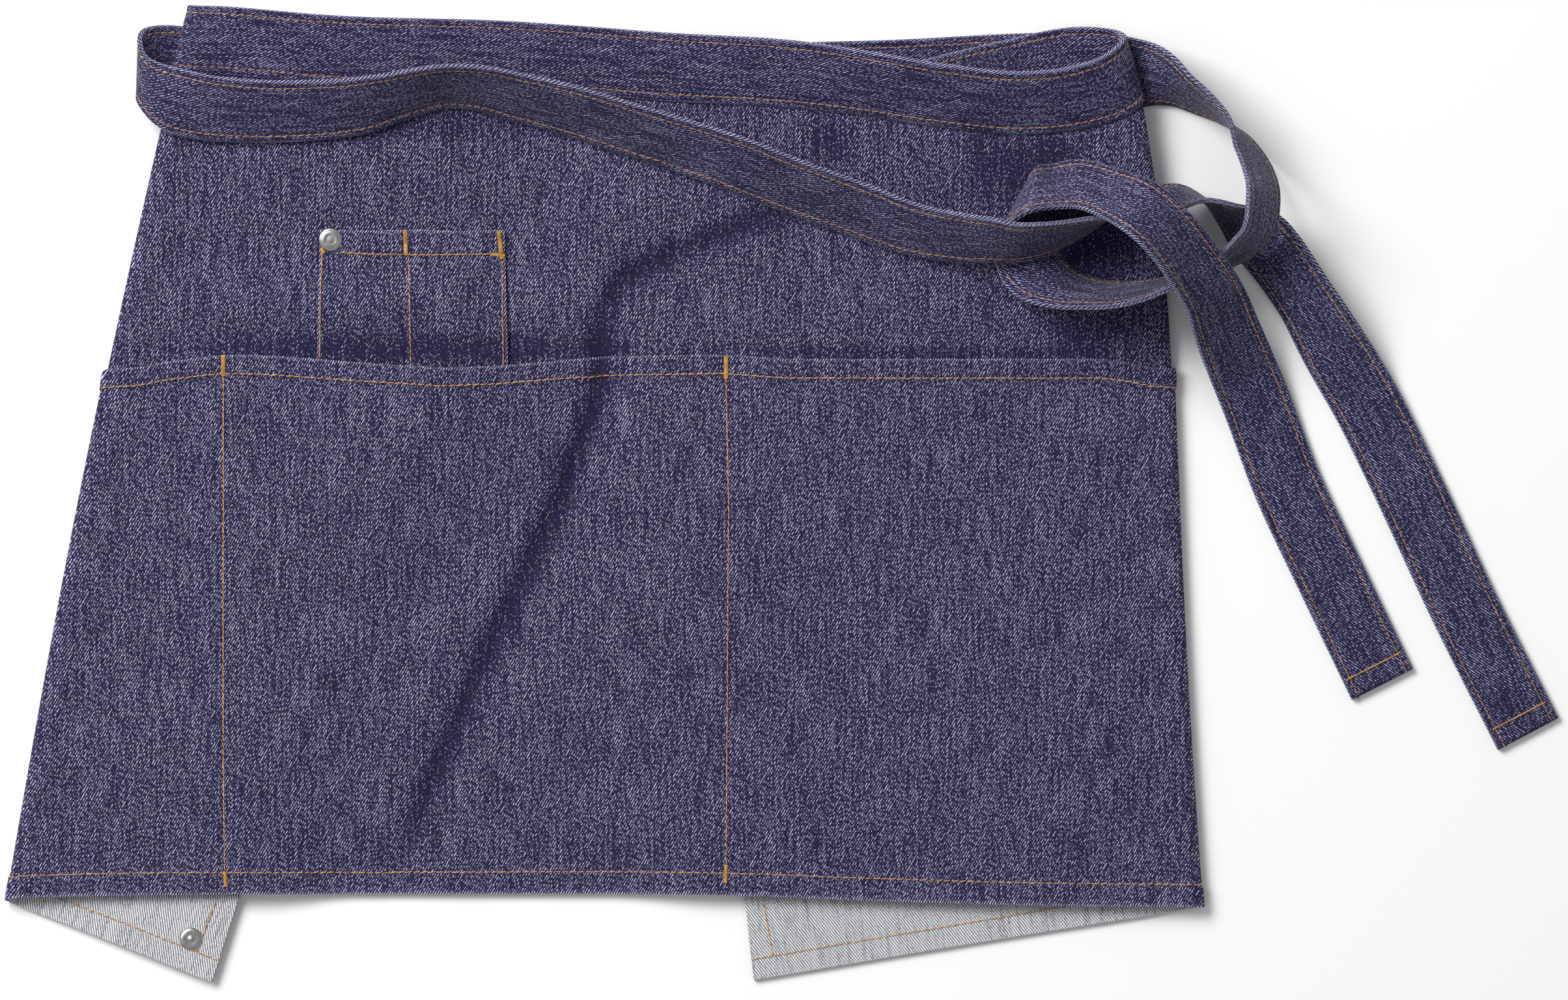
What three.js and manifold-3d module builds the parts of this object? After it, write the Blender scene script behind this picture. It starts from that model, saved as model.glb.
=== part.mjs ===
// A denim waist apron that lies on its back, with both sides folded behind and its ties half knotted.
// Millimetres. +X is the apron's right as it is seen from above, +Y its waist, +Z up from the floor.
import * as THREE from 'three';
import { mergeVertices } from 'three/addons/utils/BufferGeometryUtils.js';
import Module from 'manifold-3d';

const wasm = await Module();
wasm.setup();

// Driving sizes
const spread = 718;
const clothWall = 1;
const strapWidth = 31.75;
const bandWall = 1;
const tieThickness = 2.8;
const clearance = 0.3;
const seamDepth = 12;
const foldRadius = 1.9;
const bandFoldRadius = 2.8;
const pocketDepth = 249;
const strapChamfer = 0.8;
const sheetRowsInPocket = 6;
const sheetRowsAbove = 5;
const tieStep = 10;
const rivet = {
  capRadius: 5.5, capHeight: 1.5, capSideShare: 0.45, capCrownShare: 0.85, capCrownRadiusShare: 0.8,
  post: 2.2, burrRadius: 4.7, burrHeight: 1.1, sides: 20,
};
const penPocket = {
  left: -0.2985, right: -0.1775, top: 0.1692, bottom: 0.0905, columns: 8, rows: 4, lift: 0.25,
};
const smallest = 1e-6;
const mergeDistance = 1e-4;
const heightSpan = 2;

// Heights of the layers, from the floor up
const bandThickness = 2 * bandWall + clothWall + 2 * clearance;
const layerStep = clothWall + clearance;
const flapLevel = layerStep + clothWall / 2;
const frontLevel = flapLevel + 2 * foldRadius;
const bandBackLevel = tieThickness + clearance + bandThickness / 2;
const bandFrontLevel = bandBackLevel + 2 * bandFoldRadius;

// Stations round the apron, from the side edge of the left flap to that of the right flap.
// x and y are shares of the spread. rise goes from 0 behind to 1 in front. lift is a share of the strap width.
// bearing and lean, in degrees, give the way from the waistband's lower edge to its upper one.
const bandStations = [
  { x: -0.191, y: 0.242, rise: 0, lift: 0, bearing: 76, lean: 0, steps: 3 },
  { x: -0.269, y: 0.262, rise: 0, lift: 0, bearing: 76, lean: 0, steps: 3 },
  { x: -0.348, y: 0.282, rise: 0, lift: 0, bearing: 76, lean: 0, steps: 2 },
  { x: -0.381, y: 0.290, rise: 0, lift: 0, bearing: 76, lean: 0, steps: 3 },
  { x: -0.385, y: 0.2915, rise: 0.5, lift: 0, bearing: 76, lean: 0, steps: 3 },
  { x: -0.381, y: 0.291, rise: 1, lift: 0, bearing: 78, lean: 0, steps: 1 },
  { x: -0.358, y: 0.290, rise: 1, lift: 0, bearing: 85, lean: 0, steps: 3 },
  { x: -0.285, y: 0.284, rise: 1, lift: 0, bearing: 86, lean: 0, steps: 4 },
  { x: -0.185, y: 0.281, rise: 0.9, lift: 0, bearing: 88, lean: 0, steps: 3 },
  { x: -0.124, y: 0.277, rise: 0.8, lift: 0, bearing: 87, lean: 0, steps: 3 },
  { x: -0.072, y: 0.273, rise: 0.8, lift: 0.02, bearing: 87, lean: 4, steps: 3 },
  { x: -0.001, y: 0.269, rise: 0.8, lift: 0.10, bearing: 86, lean: 13, steps: 3 },
  { x: 0.049, y: 0.263, rise: 0.8, lift: 0.18, bearing: 82, lean: 23, steps: 3 },
  { x: 0.099, y: 0.255, rise: 0.8, lift: 0.22, bearing: 81, lean: 27, steps: 3 },
  { x: 0.149, y: 0.250, rise: 0.8, lift: 0.24, bearing: 88, lean: 28, steps: 2 },
  { x: 0.183, y: 0.2525, rise: 0.8, lift: 0.24, bearing: 97, lean: 26, steps: 2 },
  { x: 0.208, y: 0.259, rise: 0.8, lift: 0.27, bearing: 105, lean: 22, steps: 2 },
  { x: 0.2195, y: 0.266, rise: 0.9, lift: 0.22, bearing: 106, lean: 14, steps: 4 },
  { x: 0.2235, y: 0.272, rise: 0.5, lift: 0.16, bearing: 106, lean: 6, steps: 4 },
  { x: 0.2185, y: 0.2755, rise: 0.1, lift: 0.09, bearing: 104, lean: 1, steps: 2 },
  { x: 0.191, y: 0.2775, rise: 0, lift: 0.05, bearing: 103, lean: 0, steps: 3 },
  { x: 0.129, y: 0.265, rise: 0, lift: 0.02, bearing: 104, lean: 0, steps: 4 },
  { x: 0.025, y: 0.2385, rise: 0, lift: 0, bearing: 104, lean: 0, steps: 4 },
  { x: -0.081, y: 0.212, rise: 0, lift: 0, bearing: 104, lean: 0, steps: 0 },
];
// The hem at the same stations. lift is a share of the rivet's cap, bow of the spread.
const hemStations = [
  { x: -0.367, y: -0.314, lift: 1.4, bow: 0 },
  { x: -0.419, y: -0.293, lift: 1, bow: 0 },
  { x: -0.465, y: -0.275, lift: 0.3, bow: -0.003 },
  { x: -0.4935, y: -0.264, lift: 0, bow: -0.005 },
  { x: -0.4968, y: -0.2615, lift: 0, bow: -0.005 },
  { x: -0.4935, y: -0.260, lift: 0, bow: -0.005 },
  { x: -0.465, y: -0.2588, lift: 0, bow: -0.004 },
  { x: -0.374, y: -0.2574, lift: 0, bow: 0 },
  { x: -0.248, y: -0.257, lift: 0, bow: 0 },
  { x: -0.170, y: -0.257, lift: 0, bow: 0 },
  { x: -0.106, y: -0.257, lift: 0, bow: 0 },
  { x: -0.016, y: -0.2585, lift: 0, bow: 0 },
  { x: 0.047, y: -0.261, lift: 0, bow: 0 },
  { x: 0.110, y: -0.263, lift: 0, bow: 0 },
  { x: 0.173, y: -0.2645, lift: 0, bow: 0.002 },
  { x: 0.215, y: -0.265, lift: 0, bow: 0.004 },
  { x: 0.247, y: -0.2652, lift: 0, bow: 0.006 },
  { x: 0.264, y: -0.2655, lift: 0, bow: 0.007 },
  { x: 0.2672, y: -0.2658, lift: 0, bow: 0.007 },
  { x: 0.264, y: -0.2662, lift: 0, bow: 0.007 },
  { x: 0.229, y: -0.272, lift: 0, bow: 0.005 },
  { x: 0.165, y: -0.282, lift: 0, bow: 0 },
  { x: 0.073, y: -0.297, lift: 0, bow: 0 },
  { x: -0.019, y: -0.3125, lift: 0, bow: 0 },
];
const frontFirst = 6;
const frontLast = 16;

// Soft folds in the front. Places and widths are shares of the spread, depth of the strap width.
const softFolds = [
  { name: 'hollow under the loop', x1: 0.13, y1: 0.222, x2: 0.205, y2: 0.19, width: 0.022, depth: -0.09 },
  { name: 'short slant', x1: -0.035, y1: 0.175, x2: -0.11, y2: 0.13, width: 0.018, depth: -0.06 },
  { name: 'long slant', x1: -0.14, y1: 0.045, x2: -0.26, y2: -0.205, width: 0.024, depth: -0.05 },
  { name: 'swell of the left part', x1: -0.33, y1: -0.01, x2: -0.34, y2: -0.16, width: 0.04, depth: 0.05 },
  { name: 'swell of the right part', x1: 0.13, y1: 0.02, x2: 0.15, y2: -0.17, width: 0.045, depth: 0.05 },
];
const frontFade = { before: 0.5, over: 1.5 };
const sag = { ease: 0.065, fadeFrom: 0.55, fadeTo: 0.88, floorGap: 0.4 };
const foldFade = { hemSpan: 0.04, hemShare: 0.4, waistSpan: 0.1 };
const riseFrom = 0.62;
const bowPower = 2.4;

// Where the pocket's mouth gapes: at and half are shares of the spread, depth of the strap width.
const gapes = [
  { name: 'left compartment', at: -0.43, half: 0.05, depth: 0.03 },
  { name: 'middle compartment', at: -0.215, half: 0.12, depth: 0.26 },
  { name: 'right compartment', at: 0.12, half: 0.13, depth: 0.05 },
];
const gapeFrom = 0.55;
const mouthSag = 0.03;

// The ties, from the end of the waistband to the free end. x and y are shares of the spread.
// lift is a share of the strap width over what the tie lies on.
// bearing and lean, in degrees, give the way from one edge of the tie to the other.
const tieLeftRows = [
  { x: -0.0832, y: 0.2114, on: 'floor', lift: 0.11, bearing: 104, lean: 0 },
  { x: -0.112, y: 0.198, on: 'floor', lift: 0.06, bearing: 103, lean: 0 },
  { x: -0.141, y: 0.187, on: 'floor', lift: 0, bearing: 93, lean: 0 },
  { x: -0.177, y: 0.183, on: 'floor', lift: 0, bearing: 85, lean: 0 },
  { x: -0.219, y: 0.192, on: 'floor', lift: 0, bearing: 70, lean: 0 },
  { x: -0.269, y: 0.218, on: 'floor', lift: 0, bearing: 67, lean: 0 },
  { x: -0.323, y: 0.251, on: 'floor', lift: 0, bearing: 67, lean: 0 },
  { x: -0.365, y: 0.269, on: 'floor', lift: 0, bearing: 67, lean: 0 },
  { x: -0.394, y: 0.279, on: 'floor', lift: 0.01, bearing: 72, lean: 0 },
  { x: -0.4125, y: 0.275, on: 'floor', lift: 0.2, bearing: 86, lean: 4 },
  { x: -0.405, y: 0.258, on: 'floor', lift: 0.38, bearing: 97, lean: 6 },
  { x: -0.376, y: 0.248, on: 'sheet', lift: 0.02, bearing: 84, lean: 20 },
  { x: -0.3355, y: 0.2444, on: 'sheet', lift: 0, bearing: 88, lean: 28 },
  { x: -0.294, y: 0.2455, on: 'sheet', lift: 0, bearing: 95, lean: 33 },
  { x: -0.2687, y: 0.2484, on: 'sheet', lift: 0, bearing: 100, lean: 38 },
  { x: -0.252, y: 0.2526, on: 'sheet', lift: 0, bearing: 102, lean: 46 },
  { x: -0.2185, y: 0.260, on: 'sheet', lift: 0, bearing: 93, lean: 54 },
  { x: -0.1935, y: 0.259, on: 'sheet', lift: 0, bearing: 84, lean: 52 },
  { x: -0.1684, y: 0.253, on: 'sheet', lift: 0, bearing: 77, lean: 48 },
  { x: -0.135, y: 0.2445, on: 'sheet', lift: 0, bearing: 74, lean: 45 },
  { x: -0.1015, y: 0.234, on: 'sheet', lift: 0, bearing: 71, lean: 44 },
  { x: -0.068, y: 0.2235, on: 'sheet', lift: 0, bearing: 70, lean: 42 },
  { x: -0.0347, y: 0.2123, on: 'sheet', lift: 0, bearing: 69, lean: 40 },
  { x: -0.0013, y: 0.1993, on: 'sheet', lift: 0, bearing: 69, lean: 40 },
  { x: 0.049, y: 0.181, on: 'sheet', lift: 0, bearing: 70, lean: 40 },
  { x: 0.0823, y: 0.169, on: 'sheet', lift: 0.02, bearing: 73, lean: 43 },
  { x: 0.1157, y: 0.163, on: 'sheet', lift: 0.16, bearing: 82, lean: 48 },
  { x: 0.1325, y: 0.1617, on: 'sheet', lift: 0.28, bearing: 88, lean: 52 },
  { x: 0.149, y: 0.1602, on: 'sheet', lift: 0.26, bearing: 94, lean: 58 },
  { x: 0.166, y: 0.1623, on: 'sheet', lift: 0.25, bearing: 102, lean: 64 },
  { x: 0.1826, y: 0.167, on: 'sheet', lift: 0.1, bearing: 108, lean: 73 },
  { x: 0.2006, y: 0.1735, on: 'sheet', lift: 0.02, bearing: 110, lean: 84 },
  { x: 0.2245, y: 0.1815, on: 'sheet', lift: 0.05, bearing: -75, lean: 66 },
  { x: 0.249, y: 0.1885, on: 'floor', lift: 0.36, bearing: -88, lean: 66 },
  { x: 0.270, y: 0.1876, on: 'floor', lift: 0.06, bearing: -100, lean: 88 },
  { x: 0.285, y: 0.1784, on: 'floor', lift: 0, bearing: 50, lean: 71 },
  { x: 0.3084, y: 0.1609, on: 'floor', lift: 0, bearing: 44, lean: 30 },
  { x: 0.3339, y: 0.1258, on: 'floor', lift: 0, bearing: 33, lean: 34 },
  { x: 0.3515, y: 0.0965, on: 'floor', lift: 0, bearing: 30, lean: 20 },
  { x: 0.373, y: 0.0606, on: 'floor', lift: 0, bearing: 28, lean: 2 },
  { x: 0.4003, y: 0.0058, on: 'floor', lift: 0, bearing: 25, lean: 0 },
  { x: 0.437, y: -0.0727, on: 'floor', lift: 0, bearing: 25, lean: 0 },
  { x: 0.4784, y: -0.1546, on: 'floor', lift: 0, bearing: 28, lean: 0 },
];
const tieRightRows = [
  { x: -0.1888, y: 0.2415, on: 'floor', lift: 0.11, bearing: 76, lean: 0 },
  { x: -0.174, y: 0.238, on: 'floor', lift: 0.07, bearing: 78, lean: 0 },
  { x: -0.148, y: 0.2415, on: 'floor', lift: 0.01, bearing: 94, lean: 0 },
  { x: -0.115, y: 0.250, on: 'floor', lift: 0, bearing: 102, lean: 0 },
  { x: -0.068, y: 0.260, on: 'floor', lift: 0, bearing: 98, lean: 0 },
  { x: 0.0004, y: 0.2666, on: 'floor', lift: 0, bearing: 92, lean: 0 },
  { x: 0.074, y: 0.2691, on: 'floor', lift: 0, bearing: 91, lean: 0 },
  { x: 0.1575, y: 0.2733, on: 'floor', lift: 0, bearing: 92, lean: 0 },
  { x: 0.205, y: 0.273, on: 'floor', lift: 0, bearing: 86, lean: 1 },
  { x: 0.2281, y: 0.269, on: 'floor', lift: 0, bearing: 80, lean: 12 },
  { x: 0.2448, y: 0.2645, on: 'floor', lift: 0, bearing: 72, lean: 44 },
  { x: 0.2557, y: 0.2582, on: 'floor', lift: 0, bearing: 66, lean: 63 },
  { x: 0.2695, y: 0.2494, on: 'floor', lift: 0, bearing: 55, lean: 73 },
  { x: 0.2833, y: 0.239, on: 'floor', lift: 0, bearing: 42, lean: 86 },
  { x: 0.2946, y: 0.2244, on: 'floor', lift: 0, bearing: 205, lean: 74 },
  { x: 0.3038, y: 0.2068, on: 'floor', lift: 0.22, bearing: 193, lean: 65 },
  { x: 0.3067, y: 0.1909, on: 'floor', lift: 0.55, bearing: 182, lean: 61 },
  { x: 0.3038, y: 0.1688, on: 'floor', lift: 0.66, bearing: 168, lean: 62 },
  { x: 0.2946, y: 0.1575, on: 'floor', lift: 0.3, bearing: 146, lean: 68 },
  { x: 0.2841, y: 0.1504, on: 'floor', lift: 0.05, bearing: 125, lean: 76 },
  { x: 0.2683, y: 0.1429, on: 'floor', lift: 0.14, bearing: -70, lean: 88 },
  { x: 0.2453, y: 0.1337, on: 'sheet', lift: 0.04, bearing: -72, lean: 80 },
  { x: 0.216, y: 0.1274, on: 'sheet', lift: 0, bearing: -84, lean: 70 },
  { x: 0.191, y: 0.1287, on: 'sheet', lift: 0, bearing: -98, lean: 61 },
  { x: 0.1742, y: 0.1345, on: 'sheet', lift: 0, bearing: -113, lean: 42 },
  { x: 0.1609, y: 0.1437, on: 'sheet', lift: 0, bearing: -124, lean: 18 },
  { x: 0.150, y: 0.1592, on: 'sheet', lift: 0.05, bearing: -123, lean: 3 },
  { x: 0.1475, y: 0.1805, on: 'sheet', lift: 0.2, bearing: -121, lean: 12 },
  { x: 0.1596, y: 0.1939, on: 'sheet', lift: 0.26, bearing: -105, lean: 44 },
  { x: 0.1742, y: 0.196, on: 'sheet', lift: 0.13, bearing: -78, lean: 49 },
  { x: 0.1889, y: 0.1972, on: 'sheet', lift: 0.3, bearing: -90, lean: 44 },
  { x: 0.2068, y: 0.1918, on: 'sheet', lift: 0.5, bearing: -104, lean: 41 },
  { x: 0.2281, y: 0.1813, on: 'sheet', lift: 0.99, bearing: -124, lean: 32 },
  { x: 0.2453, y: 0.1659, on: 'floor', lift: 1.3, bearing: -134, lean: 32 },
  { x: 0.2653, y: 0.14, on: 'floor', lift: 1.06, bearing: -147, lean: 28 },
  { x: 0.2749, y: 0.1258, on: 'floor', lift: 0.82, bearing: -150, lean: 25 },
  { x: 0.2854, y: 0.1007, on: 'floor', lift: 0.42, bearing: -154, lean: 13 },
  { x: 0.3034, y: 0.0589, on: 'floor', lift: 0.08, bearing: -156, lean: 2 },
  { x: 0.3242, y: 0.0042, on: 'floor', lift: 0, bearing: -156, lean: 0 },
  { x: 0.351, y: -0.0526, on: 'floor', lift: 0, bearing: -154, lean: 0 },
  { x: 0.3848, y: -0.1228, on: 'floor', lift: 0, bearing: -153, lean: 0 },
];

const rivetPlaces = {
  penPocket: { x: -0.2904, y: 0.1625 },
  corner: { x: -0.3802, y: -0.2862 },
};
// How far each hole is drilled below and above the cloth's height at the rivet, in cloth walls
const drillRanges = {
  penPocket: { below: 0, above: 4 },
  penPanel: { below: 1.6, above: 1 },
  cornerPanel: { below: 0.8, above: 2 },
  cornerPocket: { below: 4, above: -0.55 },
};
const flapColumns = 9;
const flapRows = 3;

const apron = new THREE.Group();

// Directions and curves
const radians = (degrees) => THREE.MathUtils.degToRad(degrees);

function across(bearing, lean) {
  const flat = Math.cos(radians(lean));
  return new THREE.Vector3(
    flat * Math.cos(radians(bearing)),
    flat * Math.sin(radians(bearing)),
    Math.sin(radians(lean)),
  );
}

function ribbon(centres, ways) {
  const path = new THREE.CatmullRomCurve3(centres, false, 'centripetal');
  const side = new THREE.CatmullRomCurve3(ways, false, 'centripetal');
  return (t) => {
    const way = side.getPoint(t).normalize();
    return { centre: path.getPoint(t), way, face: path.getTangent(t).cross(way).normalize() };
  };
}

function raised(section, halfThick, under) {
  const edgeDrop = Math.abs(section.way.z) * (strapWidth / 2);
  const faceDrop = Math.abs(section.face.z) * halfThick;
  section.centre.z += Math.max(0, under + edgeDrop + faceDrop - section.centre.z);
  return section;
}

const smooth = (value) => THREE.MathUtils.smoothstep(value, 0, 1);

// Closed meshes
function meshOf(name, points, triangles, colour, roughness, metalness = 0) {
  const geometry = new THREE.BufferGeometry();
  const numbers = points.flatMap((p) => [p.x, p.y, p.z]);
  geometry.setAttribute('position', new THREE.Float32BufferAttribute(numbers, 3));
  geometry.setIndex(triangles.flat());
  geometry.computeVertexNormals();
  const material = new THREE.MeshStandardMaterial({ color: colour, roughness, metalness });
  const mesh = new THREE.Mesh(geometry, material);
  mesh.name = name;
  return mesh;
}

function slab(lower, upper) {
  const columns = lower.length;
  const rows = lower[0].length;
  const points = [...lower.flat(), ...upper.flat()];
  const low = (c, r) => c * rows + r;
  const high = (c, r) => columns * rows + c * rows + r;
  const triangles = [];
  const quad = (a, b, c, d) => triangles.push([a, b, c], [a, c, d]);
  for (let c = 0; c < columns - 1; c += 1) {
    for (let r = 0; r < rows - 1; r += 1) {
      quad(high(c, r), high(c + 1, r), high(c + 1, r + 1), high(c, r + 1));
      quad(low(c, r), low(c, r + 1), low(c + 1, r + 1), low(c + 1, r));
    }
    quad(low(c, 0), low(c + 1, 0), high(c + 1, 0), high(c, 0));
    quad(low(c + 1, rows - 1), low(c, rows - 1), high(c, rows - 1), high(c + 1, rows - 1));
  }
  for (let r = 0; r < rows - 1; r += 1) {
    quad(low(0, r + 1), low(0, r), high(0, r), high(0, r + 1));
    quad(low(columns - 1, r), low(columns - 1, r + 1), high(columns - 1, r + 1), high(columns - 1, r));
  }
  return { points, triangles };
}

function sweep(sections, outline) {
  const count = outline.length;
  const points = sections.flatMap((s) => outline.map((o) => s.centre.clone()
    .addScaledVector(s.way, o.x).addScaledVector(s.face, o.y)));
  const triangles = [];
  for (let s = 0; s < sections.length - 1; s += 1) {
    for (let k = 0; k < count; k += 1) {
      const next = (k + 1) % count;
      const here = s * count;
      const there = here + count;
      if (outline[next].x >= outline[k].x) {
        triangles.push([here + k, here + next, there + next], [here + k, there + next, there + k]);
      } else {
        triangles.push([here + k, here + next, there + k], [here + next, there + next, there + k]);
      }
    }
  }
  const end = (sections.length - 1) * count;
  for (const [a, b, c] of THREE.ShapeUtils.triangulateShape(outline, [])) {
    triangles.push([a, c, b], [end + a, end + b, end + c]);
  }
  return { points, triangles };
}

function solidOf(geometry) {
  const bare = geometry.clone();
  bare.deleteAttribute('normal');
  bare.deleteAttribute('uv');
  const merged = mergeVertices(bare, mergeDistance);
  return new wasm.Manifold(new wasm.Mesh({
    numProp: 3,
    vertProperties: new Float32Array(merged.attributes.position.array),
    triVerts: new Uint32Array(merged.index.array),
  }));
}

function drill(mesh, place, level, range) {
  const lowest = level - range.below * clothWall;
  const highest = level + range.above * clothWall;
  const radius = rivet.post + clearance;
  const bit = new THREE.CylinderGeometry(radius, radius, highest - lowest, rivet.sides);
  bit.rotateX(Math.PI / 2);
  bit.translate(place.x * spread, place.y * spread, (lowest + highest) / 2);
  const cut = solidOf(mesh.geometry).subtract(solidOf(bit)).getMesh();
  const geometry = new THREE.BufferGeometry();
  geometry.setAttribute('position', new THREE.BufferAttribute(cut.vertProperties, 3));
  geometry.setIndex(new THREE.BufferAttribute(cut.triVerts, 1));
  geometry.computeVertexNormals();
  mesh.geometry = geometry;
}

// The waistband's path and the hem's path share their stations
const lastStation = bandStations.length - 1;
const bandCentres = bandStations.map((s) => {
  const level = THREE.MathUtils.lerp(bandBackLevel, bandFrontLevel, s.rise);
  return new THREE.Vector3(s.x * spread, s.y * spread, level + s.lift * strapWidth);
});
const bandAt = ribbon(bandCentres, bandStations.map((s) => across(s.bearing, s.lean)));
const hemPoints = hemStations.map((s, k) => {
  const level = THREE.MathUtils.lerp(flapLevel, frontLevel, bandStations[k].rise);
  return new THREE.Vector3(s.x * spread, s.y * spread, level + s.lift * rivet.capHeight);
});
const hemPath = new THREE.CatmullRomCurve3(hemPoints, false, 'centripetal');
const bowPoints = hemStations.map((s, k) => new THREE.Vector3(k, s.bow * spread, 0));
const bowPath = new THREE.CatmullRomCurve3(bowPoints, false, 'centripetal');
const columnPlaces = bandStations.flatMap((s, k) => {
  const steps = k === lastStation ? 1 : s.steps;
  return Array.from({ length: steps }, (_, step) => k + step / steps);
});

// The body of the apron: one cloth on a grid of columns from hem to waistband
function foldDepth(x, y) {
  let depth = 0;
  for (const fold of softFolds) {
    const from = new THREE.Vector2(fold.x1, fold.y1).multiplyScalar(spread);
    const along = new THREE.Vector2(fold.x2, fold.y2).multiplyScalar(spread).sub(from);
    const offset = new THREE.Vector2(x, y).sub(from);
    const share = THREE.MathUtils.clamp(offset.dot(along) / along.lengthSq(), 0, 1);
    const away = offset.addScaledVector(along, -share).length() / (fold.width * spread);
    depth += fold.depth * strapWidth * Math.exp(-away * away);
  }
  return depth;
}

function frontWeight(station) {
  const entering = smooth((station - frontFirst + frontFade.before) / frontFade.over);
  const leaving = smooth((frontLast - station + frontFade.before) / frontFade.over);
  return entering * leaving;
}

function columnAt(station) {
  const t = station / lastStation;
  const section = raised(bandAt(t), bandThickness / 2, tieThickness + clearance);
  const waist = section.centre.clone().addScaledVector(section.way, -strapWidth / 2);
  const top = section.centre.clone().addScaledVector(section.way, seamDepth - clearance - strapWidth / 2);
  const hem = hemPath.getPoint(t);
  hem.z = Math.max(hem.z, flapLevel);
  const bow = bowPath.getPoint(t).y;
  const mouth = pocketDepth / Math.hypot(waist.x - hem.x, waist.y - hem.y);
  return { station, section, waist, top, hem, bow, mouth };
}

const columns = columnPlaces.map(columnAt);
const leftEdge = columns[0];
const rightEdge = columns[columns.length - 1];

function frontSag(x, v) {
  const left = THREE.MathUtils.lerp(leftEdge.hem.x, leftEdge.waist.x, v);
  const right = THREE.MathUtils.lerp(rightEdge.hem.x, rightEdge.waist.x, v);
  const inside = Math.min(x - left, right - x) / (sag.ease * spread) - sag.floorGap;
  return smooth(inside) * (1 - smooth((v - sag.fadeFrom) / (sag.fadeTo - sag.fadeFrom)));
}

function sheetPoint(column, v) {
  const point = column.hem.clone().lerp(column.waist, v);
  const rise = smooth((v - riseFrom) / (1 - riseFrom));
  point.z = THREE.MathUtils.lerp(column.hem.z, column.waist.z, rise);
  point.x += column.bow * Math.sin(Math.PI * v ** (column.bow > 0 ? bowPower : 1));
  const sagging = frontSag(point.x, v);
  const drop = (point.z - clothWall / 2 - sag.floorGap) * sagging;
  const hemFade = THREE.MathUtils.lerp(foldFade.hemShare, 1, smooth(v / foldFade.hemSpan));
  const fading = smooth((1 - v) / foldFade.waistSpan) * hemFade * (1 - sagging);
  point.z += frontWeight(column.station) * (foldDepth(point.x, point.y) * fading - drop);
  return point;
}

function rowShares(column) {
  const below = Array.from({ length: sheetRowsInPocket }, (_, k) => k / sheetRowsInPocket);
  const above = Array.from({ length: sheetRowsAbove + 1 }, (_, k) => k / sheetRowsAbove);
  return [
    ...below.map((share) => column.mouth * share),
    ...above.map((share) => column.mouth + (1 - column.mouth) * share),
  ];
}

const middle = columns.map((column) => {
  const cloth = rowShares(column).map((v) => sheetPoint(column, v));
  return [...cloth, column.top];
});

function gridNormal(grid, c, r) {
  const before = grid[Math.max(c - 1, 0)][r];
  const after = grid[Math.min(c + 1, grid.length - 1)][r];
  const below = grid[c][Math.max(r - 1, 0)];
  const above = grid[c][Math.min(r + 1, grid[c].length - 1)];
  return after.clone().sub(before).cross(above.clone().sub(below)).normalize();
}

const inBand = (r) => r >= sheetRowsInPocket + sheetRowsAbove;
const normals = middle.map((column, c) => column.map((_, r) => (
  inBand(r) ? columns[c].section.face : gridNormal(middle, c, r))));
const offsetGrid = (grid, distance) => grid.map((column, c) => column.map((p, r) => (
  p.clone().addScaledVector(normals[c][r], distance(c, r)))));

const bodyLower = offsetGrid(middle, () => -clothWall / 2);
const bodyUpper = offsetGrid(middle, () => clothWall / 2);
const denim = { colour: '#34334f', roughness: 0.85 };

function clothMesh(name, lower, upper) {
  const { points, triangles } = slab(lower, upper);
  return meshOf(name, points, triangles, denim.colour, denim.roughness);
}

// The front pocket lies on the body's outer side, on the same columns, from the hem to its mouth
function gapeAt(c, r) {
  const share = r / sheetRowsInPocket;
  const x = middle[c][r].x / spread;
  const weight = frontWeight(columns[c].station);
  return gapes.reduce((sum, gape) => {
    const reach = THREE.MathUtils.clamp(1 - ((x - gape.at) / gape.half) ** 2, 0, 1);
    const opening = smooth((share - gapeFrom) / (1 - gapeFrom));
    return sum + gape.depth * strapWidth * reach * reach * opening * weight;
  }, 0);
}

const pocketRows = (grid) => grid.map((column) => column.slice(0, sheetRowsInPocket + 1));
const pocketLevel = clothWall / 2 + clearance;
const pocketLower = pocketRows(offsetGrid(middle, (c, r) => pocketLevel + gapeAt(c, r)));
const pocketUpper = pocketRows(offsetGrid(middle, (c, r) => pocketLevel + clothWall + gapeAt(c, r)));
for (const grid of [pocketLower, pocketUpper]) {
  grid.forEach((column, c) => {
    const lip = column[sheetRowsInPocket];
    lip.y -= gapeAt(c, sheetRowsInPocket) * mouthSag * strapWidth;
  });
}

// Height of the front at a place, read off the faces of a grid
function heightOnFace(face, x, y) {
  const flat = face.map((p) => new THREE.Vector3(p.x, p.y, 0));
  const weights = new THREE.Vector3();
  THREE.Triangle.getBarycoord(new THREE.Vector3(x, y, 0), ...flat, weights);
  if (Math.min(weights.x, weights.y, weights.z) < -smallest) {
    return 0;
  }
  return face[0].z * weights.x + face[1].z * weights.y + face[2].z * weights.z;
}

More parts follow.
